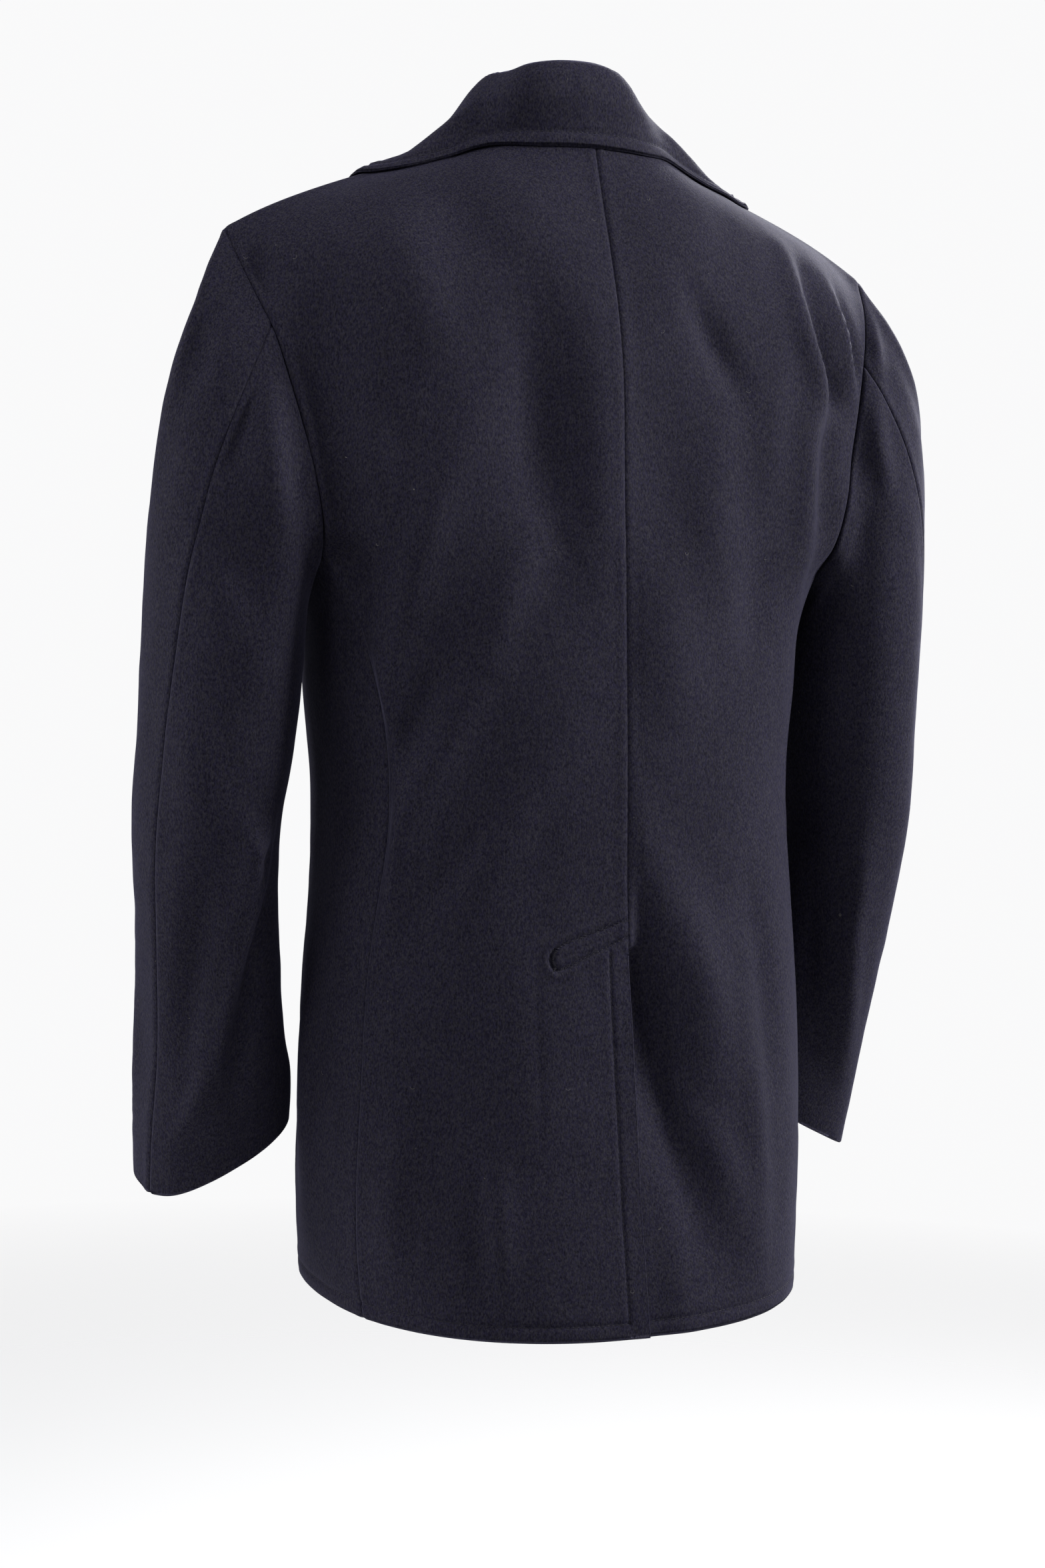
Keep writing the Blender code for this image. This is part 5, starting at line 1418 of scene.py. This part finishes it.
class COAT_OT_fronts(bpy.types.Operator):
    """Make the two front panels"""
    bl_idname = "coat.fronts"
    bl_label = "Fronts"

    def execute(self, context):
        coat = Coat.form()
        for side, place, sign in SIDES:
            left = side == "left"
            grid = place(coat.front)
            if not left:
                grid = sunk_front(grid, sign * grid_normals(grid))
            lines = [stitched(grid, "first_row", EDGE_STITCH)]
            if left:
                lines.append(stitched(grid, "first_column", EDGE_STITCH, grid[:1, :, 2] < BREAK_Z))
            shaped = make_panel("front_" + side, grid, sign, ("last_column", "last_row"),
                                ("first_row", "first_column"), lines)
            coat.fronts[side] = shaped
            pieces = [trimmed(*line_at(shaped, sign, "first_row", EDGE_STITCH),
                              EDGE_STITCH if left else LAPPED_HEM, LINE_END)]
            if left:
                pieces.append(lower_part(*line_at(shaped, sign, "first_column", EDGE_STITCH),
                                         BREAK_Z))
            sew("front_%s_stitches" % side, pieces)
        return {"FINISHED"}


class COAT_OT_sleeves(bpy.types.Operator):
    """Make the four sleeve panels"""
    bl_idname = "coat.sleeves"
    bl_label = "Sleeves"

    def execute(self, context):
        coat = Coat.form()
        for side, place, sign in SIDES:
            for cut, grid in (("top_sleeve_", coat.top_sleeve), ("under_sleeve_", coat.under_sleeve)):
                make_panel(cut + side, place(grid), sign,
                           ("first_column", "last_column", "first_row"), ("last_row",))
        return {"FINISHED"}


# ---------------------------------------------------------------- collar, lapels, welts, vent
def evened(grid, passes):
    """Grid evened out from column to column; the first and last ones stay."""
    out = grid.copy()
    for _ in range(passes):
        out[1:-1] = (out[:-2] + 2 * out[1:-1] + out[2:]) / 4
    return out


def collar_wall(grid):
    """Wall of the collar, which thins to its pressed edges."""
    away = from_edges(grid)
    nearest = np.minimum.reduce([away[side] for side in COLLAR_OUTLINE])
    return COLLAR_EDGE + (COLLAR_CLOTH - COLLAR_EDGE) * smoothstep(0.0, COLLAR_THINS, nearest)


def settled(grid, tree, wall):
    """The collar's fall let down until its edge lies on the coat."""
    weight = 1 - smoothstep(*COLLAR_SETTLES, from_edges(grid)["last_row"])
    drop = np.zeros_like(grid)
    for index in zip(*np.nonzero(weight > 0)):
        near, normal, _, _ = tree.find_nearest(Vector(grid[index]))
        spare = (Vector(grid[index]) - near).dot(normal) - wall[index] - COLLAR_LAY
        if abs(spare) < 0.02:
            drop[index] = -np.array(normal) * spare * weight[index]
    return grid + evened(drop, 10)


class COAT_OT_collar(bpy.types.Operator):
    """Make the collar"""
    bl_idname = "coat.collar"
    bl_label = "Collar"

    def execute(self, context):
        coat = Coat.form()
        grid = refined(collar_grid(*coat.coarse), steps=COLLAR_FINE_STEPS)
        free = smoothstep(0, EVENED, np.arange(grid.shape[1]))[:, None]
        grid += (evened(grid, EVENED) - grid) * free
        rows = respaced(grid.swapaxes(0, 1)[::-1], NEAR_STITCH, (0.0,), SPACING)[::-1]
        grid = respaced(rows.swapaxes(0, 1), NEAR_STITCH, NEAR_STITCH, SPACING)
        outside = surface_tree([(place(part), facing * sign) for _, place, sign in SIDES
                                for part, facing in ((coat.back, -1), (coat.front, 1),
                                                     (coat.top_sleeve, 1), (coat.under_sleeve, 1))])
        first = grid.shape[1] // 3
        wall = collar_wall(grid)
        grid = lifted(settled(grid, outside, wall), first, outside, wall + COLLAR_LAY / 2)
        away = from_edges(grid)
        inside = (smoothstep(0.008, 0.011, away["first_column"])
                  * smoothstep(0.008, 0.011, away["last_column"]))
        lines = [stitched(grid, "last_row", EDGE_STITCH, inside)]
        ends = (away["last_row"] > 0.009) * (away["last_row"] < COLLAR_FRONT_STITCH)
        for side in ("first_column", "last_column"):
            lines.append(stitched(grid, side, EDGE_STITCH, ends))
        shaped = make_panel("collar", grid, 1, (), COLLAR_OUTLINE, lines, wall)
        pieces = [trimmed(*line_at(shaped, 1, "last_row", EDGE_STITCH), EDGE_STITCH, EDGE_STITCH)]
        for side in ("first_column", "last_column"):
            points, normals = (values[::-1] for values in line_at(shaped, 1, side, EDGE_STITCH))
            length = lengths_along(points)
            keep = (length > EDGE_STITCH) & (length < COLLAR_FRONT_STITCH)
            pieces.append((points[keep], normals[keep]))
        sew("collar_stitches", pieces)
        return {"FINISHED"}


def shaped_lapel(side, sign):
    """Outer points of a lapel on the fine front, puffed where the cloth rolls over."""
    plan = lapel_plan() if side == "left" else right_lapel_plan()
    laid = laid_on(surface_tree([(Coat.form().fronts[side], sign)]), plan)
    laid = respaced_both(laid, (NEAR_SEAM, NEAR_STITCH), ((0.0,), NEAR_STITCH), SPACING)
    puff = LAPEL_ROLL * hump(from_edges(laid)["first_column"] - 0.006, 0.014)
    return laid + sign * grid_normals(laid) * puff[..., None]


class COAT_OT_lapels(bpy.types.Operator):
    """Make the two lapels"""
    bl_idname = "coat.lapels"
    bl_label = "Lapels"

    def execute(self, context):
        for side, _, sign in SIDES:
            grid = shaped_lapel(side, sign)
            away = from_edges(grid)
            lines = [stitched(grid, "last_column", EDGE_STITCH, away["last_row"] > EDGE_STITCH),
                     stitched(grid, "last_row", EDGE_STITCH, (away["last_column"] > EDGE_STITCH)
                              * (away["first_column"] > 0.004))]
            shaped = make_panel("lapel_" + side, grid, sign, (), OUTLINE, lines)
            sew("lapel_%s_stitches" % side,
                [trimmed(*line_at(shaped, sign, edge, EDGE_STITCH), start, EDGE_STITCH)
                 for edge, start in zip(("last_column", "last_row"), LAPEL_ROWS_START)])
        return {"FINISHED"}


class COAT_OT_welts(bpy.types.Operator):
    """Make the two pocket welts"""
    bl_idname = "coat.welts"
    bl_label = "Pocket welts"

    def execute(self, context):
        coat = Coat.form()
        top, bottom = np.array(WELT_TOP), np.array(WELT_BOTTOM)
        for side, _, sign in SIDES:
            middle = bottom + (top - bottom) * np.linspace(0, 1, 41)[:, None]
            plan = np.stack([middle + (offset, 0)
                             for offset in np.linspace(-WELT_WIDTH / 2, WELT_WIDTH / 2, 9)])
            laid = laid_on(surface_tree([(coat.fronts[side], sign)]), plan * (sign, 1))
            laid = respaced_both(laid, (NEAR_WELT, NEAR_WELT), (NEAR_WELT, NEAR_WELT), SPACING)
            away = from_edges(laid)
            lines = []
            for edge in OUTLINE:
                start, end = OUTLINE[2:] if edge in OUTLINE[:2] else OUTLINE[:2]
                inside = (away[start] > WELT_STITCH) * (away[end] > WELT_STITCH)
                lines.append(stitched(laid, edge, WELT_STITCH, inside))
            shaped = make_panel("pocket_welt_" + side, laid, sign, (), OUTLINE, lines)
            sew("pocket_welt_%s_stitches" % side,
                [trimmed(*line_at(shaped, sign, edge, WELT_STITCH), WELT_STITCH, WELT_STITCH)
                 for edge in OUTLINE])
        return {"FINISHED"}


class COAT_OT_vent(bpy.types.Operator):
    """Make the under layer of the back vent"""
    bl_idname = "coat.vent"
    bl_label = "Vent under layer"

    def execute(self, context):
        coat = Coat.form()
        columns = int(np.searchsorted(spread(coat.back)[0][:, 0], VENT_UNDERLAP)) + 1
        rows = coat.back.shape[1] - int(np.searchsorted(-coat.back[0, ::-1, 2], -VENT_TOP_Z))
        behind = wall_of(coat.back, -1) * (1 + (SEAM_GAP + VENT_DROP) / CLOTH)
        strip = (coat.back + behind)[:columns, :rows]
        make_panel("vent_underlap", strip, -1, ("first_column",), ("first_row", "last_column"))
        return {"FINISHED"}


# ---------------------------------------------------------------- stitches
STITCH_SINK = 0.00006       # how far a lock stitch lies in the cloth
AHEAD = 0.0008              # how far ahead a thread's direction is read
LAID = Matrix.Rotation(math.radians(90), 4, "Y")


def line_at(grid, facing, side, distance):
    """Points at a distance from a panel's side, and the way out of the cloth there."""
    view, out = from_side(side, grid), from_side(side, facing * grid_normals(grid))
    length = lengths_along(view)
    points, normals = (np.array([read_at(distance, length[:, k], values[:, k])
                                 for k in range(view.shape[1])]) for values in (view, out))
    return points, unit(normals)


def trimmed(points, normals, start, end):
    """Part of a line that begins and ends at distances from its ends."""
    length = lengths_along(points)
    keep = (length >= start) & (length <= length[-1] - end)
    return points[keep], normals[keep]


def on_cloth(tree, line):
    """Points of a cloth surface next to a line behind the coat, and the way out of it."""
    found = [tree.find_nearest(Vector(point))[:2] for point in line]
    points, normals = (np.array(values) for values in zip(*found))
    return points, normals * np.sign(normals[:, 1:2])


def at_length(points, normals, length, at):
    """Place on a line, the way out of the cloth there, and the line's direction."""
    spot, ahead, out = (read_at(place, length, values)
                        for place, values in ((at, points), (at + AHEAD, points), (at, normals)))
    if at + AHEAD > length[-1]:
        ahead = spot + (points[-1] - points[-2])
    return spot, unit(out), unit(ahead - spot)


def add_stitch(bm, spot, out, run, length, radius):
    """One short thread that lies on the cloth."""
    run = unit(run)
    across = unit(np.cross(out, run))
    out = np.cross(run, across)
    turned = Matrix((run * length / 2, across * radius, out * radius)).transposed().to_4x4()
    bmesh.ops.create_uvsphere(bm, u_segments=6, v_segments=4, radius=1.0,
                              matrix=Matrix.Translation(Vector(spot)) @ turned @ LAID)


def add_stitches(bm, points, normals, start, pitch, lift, length, radius, across=False):
    """Threads at even steps on a line on the cloth, along it or across it."""
    reached = lengths_along(points)
    for at in np.arange(start, reached[-1] - start, pitch):
        spot, out, run = at_length(points, normals, reached, at)
        add_stitch(bm, spot + out * lift, out, np.cross(run, out) if across else run,
                   length, radius)


def sew(name, pieces):
    """Rows of lock stitches along lines on the cloth."""
    sizes = bpy.context.scene.coat_stitches
    whole = bmesh.new()
    for points, normals in pieces:
        bm = bmesh.new()
        add_stitches(bm, points, normals, sizes.pitch / 2, sizes.pitch, -STITCH_SINK,
                     sizes.length, sizes.thread)
        part = bpy.data.meshes.new("part")
        bm.to_mesh(part)
        bm.free()
        whole.from_mesh(part)
        bpy.data.meshes.remove(part)
    smooth(whole)
    finished(name, whole, thread_material())


def sew_across(name, points, normals, pitch, lift, width, radius):
    """Close threads across a line, as in a bar or a buttonhole."""
    bm = bmesh.new()
    add_stitches(bm, points, normals, 0.0, pitch, lift, width, radius, across=True)
    smooth(bm)
    finished(name, bm, thread_material())


def thread_material():
    """Dark sewing thread, a little shinier than the wool, with its twist."""
    material = bpy.data.materials.get("sewing_thread")
    if material:
        return material
    sizes = bpy.context.scene.coat_stitches
    material, tree, shader, place = new_material("sewing_thread", 0.62, 0.25, sizes.dark)
    twist = stretched_noise(tree, place, (2400, 2400, 2400), 1.0)
    colour = mixed(tree, banded(tree, twist, 0.35, 0.65), (*sizes.dark, 1), (*sizes.light, 1))
    dress(tree, shader, colour, twist, 0.4, 0.0002)
    return material


def on_front_of(grid, sign, x, z, radius):
    """Seat of a round piece on a front: its centre and the way out of the cloth."""
    steps = np.linspace(-1, 1, 9) * radius
    plan = np.stack(np.meshgrid(x + steps, z + steps, indexing="ij"), axis=-1)
    spots, normals = on_front(surface_tree([(grid, sign)]), plan)
    covered = np.hypot(*(plan - (x, z)).T) <= radius
    centre, normal = spots[4, 4], unit(normals[covered].mean(axis=0))
    return centre + normal * (((spots[covered] - centre) @ normal).max() + SEAM_GAP), normal


# a button's section: shares of its radius, and heights
BUTTON_PROFILE = (("share", "height"), (0.0, 0.0), (0.76, 0.0), (0.916, 0.0004),
                  (0.981, 0.0011), (1.0, 0.0020), (0.987, 0.0030), (0.942, 0.0038),
                  (0.877, 0.0042), (0.813, 0.0041), (0.748, 0.0035), (0.671, 0.0029),
                  (0.516, 0.0026), (0.0, 0.0025))
HOLE_PLACE = 0.0027         # from the button's middle
SEWING_THREAD = 0.00030     # radius of the threads in buttons and buttonholes
HOLE_PITCH, HOLE_LIFT, HOLE_STITCH = 0.00048, 0.0001, 0.0021     # a buttonhole's threads
SLIT_HALF_WIDTH, SLIT_POWER = 0.0011, 0.35
SLIT_START = 0.003          # from the button's middle, towards the edge
BUTTON_TURNS = (17, -9, 5, 28, -21, 11)     # degrees; each was sewn on a little turned


def turned_button():
    """Bmesh of a button at the origin, facing +Z: a turned disc with a rim and four holes."""
    sizes = bpy.context.scene.coat_buttons
    bm = bmesh.new()
    last = None
    for share, height in BUTTON_PROFILE[1:]:
        vertex = bm.verts.new((share * sizes.radius, 0, height))
        if last:
            bm.edges.new((last, vertex))
        last = vertex
    bmesh.ops.spin(bm, geom=list(bm.verts) + list(bm.edges), axis=(0, 0, 1),
                   cent=(0, 0, 0), steps=72, angle=math.tau, use_merge=True)
    bmesh.ops.remove_doubles(bm, verts=list(bm.verts), dist=0.00002)
    bmesh.ops.recalc_face_normals(bm, faces=list(bm.faces))
    disc = new_object("scratch", bm)
    bm = bmesh.new()
    for quarter in range(4):
        turn = Matrix.Rotation(math.radians(45 + 90 * quarter), 4, "Z")
        place = turn @ Matrix.Translation((HOLE_PLACE, 0, 0.002))
        bmesh.ops.create_cone(bm, cap_ends=True, segments=20, radius1=sizes.hole,
                              radius2=sizes.hole, depth=0.01, matrix=place)
    drill = new_object("scratch", bm)
    cut = disc.modifiers.new("holes", "BOOLEAN")
    cut.operation, cut.solver, cut.object = "DIFFERENCE", "EXACT", drill
    shape = disc.evaluated_get(bpy.context.evaluated_depsgraph_get()).to_mesh()
    bm = bmesh.new()
    bm.from_mesh(shape)
    smooth(bm)
    for edge in bm.edges:
        if edge.is_manifold and edge.calc_face_angle() > math.radians(50):
            edge.smooth = False
    for thing in (disc, drill):
        bpy.data.objects.remove(thing)
    put_in_order(bm)
    return bm


def button_threads():
    """Bmesh of the sewing threads across a button's holes, and the shank under it."""
    bm = bmesh.new()
    reach = HOLE_PLACE * math.cos(math.radians(45))
    for row in (-1, 1):
        for strand in (-0.00042, 0.0, 0.00042):
            add_stitch(bm, np.array((0.0, row * reach + strand, 0.00275)), np.array((0, 0, 1.0)),
                       np.array((1.0, 0, 0)), 2 * reach + 0.0013, SEWING_THREAD)
    bmesh.ops.create_cone(bm, segments=16, radius1=0.0030, radius2=0.0026, depth=0.0022,
                          matrix=Matrix.Translation((0, 0, -0.0008)))
    smooth(bm)
    return bm


class COAT_OT_buttons(bpy.types.Operator):
    """Make the six buttons, their threads and the three buttonholes"""
    bl_idname = "coat.buttons"
    bl_label = "Buttons"

    def execute(self, context):
        coat = Coat.form()
        radius = context.scene.coat_buttons.radius
        for k, z in enumerate(BUTTON_ROWS_Z):
            for side, x in (("left", BUTTON_X), ("right", -BUTTON_X)):
                centre, normal = on_front_of(coat.fronts["left"], 1, x, z, radius)
                name = "button_%s_%d" % (side, k + 1)
                turn = Vector((0, 0, 1)).rotation_difference(Vector(normal)).to_matrix().to_4x4()
                spin = Matrix.Rotation(math.radians(BUTTON_TURNS[2 * k + (x > 0)]), 4, "Z")
                place = Matrix.Translation(Vector(centre)) @ turn @ spin
                for bm, label, material, slot in (
                        (turned_button(), "_turned", horn_material(), "horn"),
                        (button_threads(), "_threads", thread_material(), "melton")):
                    bm.transform(place)
                    thing = finished(name + label, bm, material)
                    if label == "_turned":
                        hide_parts(name)
            sew_buttonhole("buttonhole_%d" % (k + 1), coat.fronts["left"], z)
        return {"FINISHED"}


def sew_buttonhole(name, grid, z):
    """Buttonhole in the left front's edge: close stitches round a slit, from the button on."""
    half = bpy.context.scene.coat_buttons.buttonhole / 2
    turn = np.linspace(0, math.tau, 160, endpoint=False)
    cos = np.cos(turn)
    plan = np.stack([half - BUTTON_X - SLIT_START + half * np.sign(cos) * np.abs(cos) ** SLIT_POWER,
                     z + SLIT_HALF_WIDTH * np.sin(turn)], axis=-1)
    tree = surface_tree([(grid, 1)])
    spots, normals = [], []
    for x, height in plan:
        spot, normal = tree.ray_cast(Vector((x, -1.0, height)), Vector((0.0, 1.0, 0.0)))[:2]
        spots.append(spot)
        normals.append(normal * (-1 if normal.y > 0 else 1))
    sew_across(name, np.array(spots), np.array(normals), HOLE_PITCH, HOLE_LIFT, HOLE_STITCH,
               SEWING_THREAD)


def horn_material():
    """Dark horn-like button: polished, with faint cloudy streaks and fine scratches."""
    material = bpy.data.materials.get("dark_horn")
    if material:
        return material
    sizes = bpy.context.scene.coat_buttons
    material, tree, shader, place = new_material("dark_horn", 0.3, 0.30, sizes.dark)
    cloud = stretched_noise(tree, place, (260, 260, 90), 3.0, 0.6)
    colour = mixed(tree, banded(tree, cloud, 0.42, 0.75), (*sizes.dark, 1), (*sizes.cloud, 1))
    scratch = stretched_noise(tree, place, (3000, 3000, 500), 1.0)
    tree.links.new(banded(tree, scratch, 0.3, 0.7, 0.28, 0.46), shader.inputs["Roughness"])
    dress(tree, shader, colour, scratch, 0.06, 0.0002)
    return material


# ---------------------------------------------------------------- stage
class COAT_OT_stage(bpy.types.Operator):
    """Set the floor, the lights and the camera"""
    bl_idname = "coat.stage"
    bl_label = "Stage"

    def execute(self, context):
        add_floor()
        add_backdrop()
        add_lights()
        add_camera()
        return {"FINISHED"}


FLOOR_Z = -1.46
FLOOR_FADE = (0.5, 3.2)     # how far out the floor begins and ends to fade
CAMERA_TURN = 25.4          # degrees from behind the coat towards its left side
CAMERA_DISTANCE = 1.806
CAMERA_OFFSET = -0.0163
CAMERA_HEIGHT = -0.2807
CAMERA_PITCH = 4.23
CAMERA_ROLL = 1.38
CAMERA_LENS = 60.0


def add_camera():
    turn, pitch, roll = (math.radians(angle) for angle in (CAMERA_TURN, CAMERA_PITCH, CAMERA_ROLL))
    behind = Vector((math.sin(turn), math.cos(turn), 0.0))
    right = Vector((-math.cos(turn), math.sin(turn), 0.0))
    place = behind * CAMERA_DISTANCE + right * CAMERA_OFFSET + Vector((0, 0, CAMERA_HEIGHT))
    look = -behind * math.cos(pitch) - Vector((0, 0, 1)) * math.sin(pitch)
    up = right.cross(look)
    right, up = (math.cos(roll) * right + math.sin(roll) * up,
                 -math.sin(roll) * right + math.cos(roll) * up)
    camera = bpy.data.cameras.new("camera")
    camera.sensor_fit = "VERTICAL"
    camera.sensor_height = 36.0
    camera.lens = CAMERA_LENS
    thing = bpy.data.objects.new("camera", camera)
    turned = Matrix((right, up, -look)).transposed().to_4x4()
    thing.matrix_world = Matrix.Translation(place) @ turned
    bpy.context.scene.collection.objects.link(thing)
    bpy.context.scene.camera = thing


def floor_paint():
    """Pale matt floor that fades out into the backdrop."""
    colour = bpy.context.scene.coat_stage.floor
    material, tree, shader, place = new_material("floor_paint", 0.9, colour=colour)
    away = put(tree, "ShaderNodeVectorMath", [(0, place), (1, (1.0, 1.0, 0.0))],
               operation="MULTIPLY")
    away = put(tree, "ShaderNodeVectorMath", [(0, away.outputs[0])], operation="LENGTH")
    fade = banded(tree, away.outputs["Value"], *FLOOR_FADE, 1.0, 0.0)
    tree.links.new(fade, shader.inputs["Alpha"])
    return material


def add_floor():
    bm = bmesh.new()
    bmesh.ops.create_circle(bm, cap_ends=True, segments=96, radius=9.0)
    bmesh.ops.translate(bm, verts=list(bm.verts), vec=(0, 0, FLOOR_Z))
    floor = new_object("floor", bm)
    floor.data.materials.append(floor_paint())


def add_backdrop():
    """White backdrop all round, which lights the coat less than it shows."""
    world = bpy.data.worlds.new("studio")
    world.use_nodes = True
    tree = world.node_tree
    seen = tree.nodes["Background"]
    seen.inputs["Color"].default_value = (*bpy.context.scene.coat_stage.backdrop, 1)
    seen.inputs["Strength"].default_value = 1.0
    up = put(tree, "ShaderNodeSeparateXYZ",
             [("Vector", put(tree, "ShaderNodeTexCoord").outputs["Generated"])]).outputs[2]
    strength = banded(tree, up, -0.4, 0.9, 0.04, 0.40)
    lighting = put(tree, "ShaderNodeBackground",
                   [("Color", (0.95, 0.96, 1.0, 1)), ("Strength", strength)])
    path = put(tree, "ShaderNodeLightPath")
    mix = put(tree, "ShaderNodeMixShader", [(0, path.outputs["Is Camera Ray"]),
                                            (1, lighting.outputs[0]), (2, seen.outputs[0])])
    tree.links.new(mix.outputs[0], tree.nodes["World Output"].inputs["Surface"])
    bpy.context.scene.world = world
    bpy.context.scene.view_settings.view_transform = "Standard"


LIGHTS = (("name", "place", "aim", "size", "power"),
          ("key", (-1.80, 0.82, 0.64), (-0.02, 0.05, -0.25), 0.72, 77.0),
          ("left_top", (1.90, -0.05, 1.70), (0.18, 0.0, -0.05), 0.8, 24.0),
          ("left_shoulder", (0.90, 0.75, 0.80), (0.22, 0.02, -0.08), 0.35, 6.0),
          ("left_low", (2.00, 0.30, -1.10), (0.20, 0.0, -0.75), 0.7, 6.0),
          ("left_front", (1.80, -1.30, 0.20), (0.15, 0.0, -0.35), 0.8, 24.0),
          ("right_side", (-2.1, -0.8, 0.4), (-0.25, 0.0, -0.3), 1.0, 32.0),
          ("front_key", (-1.7, -1.25, 0.9), (0.0, -0.05, -0.3), 0.6, 62.0))


def add_lights():
    for name, place, aim, size, power in LIGHTS[1:]:
        light = bpy.data.lights.new(name, "AREA")
        light.size = size
        light.energy = power * bpy.context.scene.coat_stage.power
        thing = bpy.data.objects.new(name, light)
        thing.location = place
        direction = Vector(aim) - Vector(place)
        thing.rotation_euler = direction.to_track_quat("-Z", "Y").to_euler()
        bpy.context.scene.collection.objects.link(thing)


OPERATORS = (COAT_OT_backs, COAT_OT_fronts, COAT_OT_sleeves, COAT_OT_collar, COAT_OT_lapels,
             COAT_OT_welts, COAT_OT_vent, COAT_OT_buttons, COAT_OT_stage)
SETTINGS = (("coat_cloth", ClothSettings, "Wool"), ("coat_stitches", StitchSettings, "Stitches"),
            ("coat_buttons", ButtonSettings, "Buttons"), ("coat_stage", StageSettings, "Stage"))


class COAT_PT_panel(bpy.types.Panel):
    """Lists the coat's settings and pieces"""
    bl_idname = "COAT_PT_panel"
    bl_label = "Pea coat"
    bl_space_type = "VIEW_3D"
    bl_region_type = "UI"
    bl_category = "Coat"

    def draw(self, context):
        for name, group, label in SETTINGS:
            box = self.layout.box()
            box.label(text=label)
            for field in group.__annotations__:
                box.prop(getattr(context.scene, name), field)
        for operator in OPERATORS:
            self.layout.operator(operator.bl_idname)


CLASSES = tuple(group for _, group, _ in SETTINGS) + OPERATORS + (COAT_PT_panel,)


def register():
    for item in CLASSES:
        bpy.utils.register_class(item)
    for name, group, _ in SETTINGS:
        setattr(bpy.types.Scene, name, PointerProperty(type=group))


def unregister():
    for name, _, _ in SETTINGS:
        delattr(bpy.types.Scene, name)
    for item in reversed(CLASSES):
        bpy.utils.unregister_class(item)


def main():
    register()
    for operator in OPERATORS:
        getattr(bpy.ops.coat, operator.bl_idname.split(".")[1])()


if __name__ == "__main__":
    main()
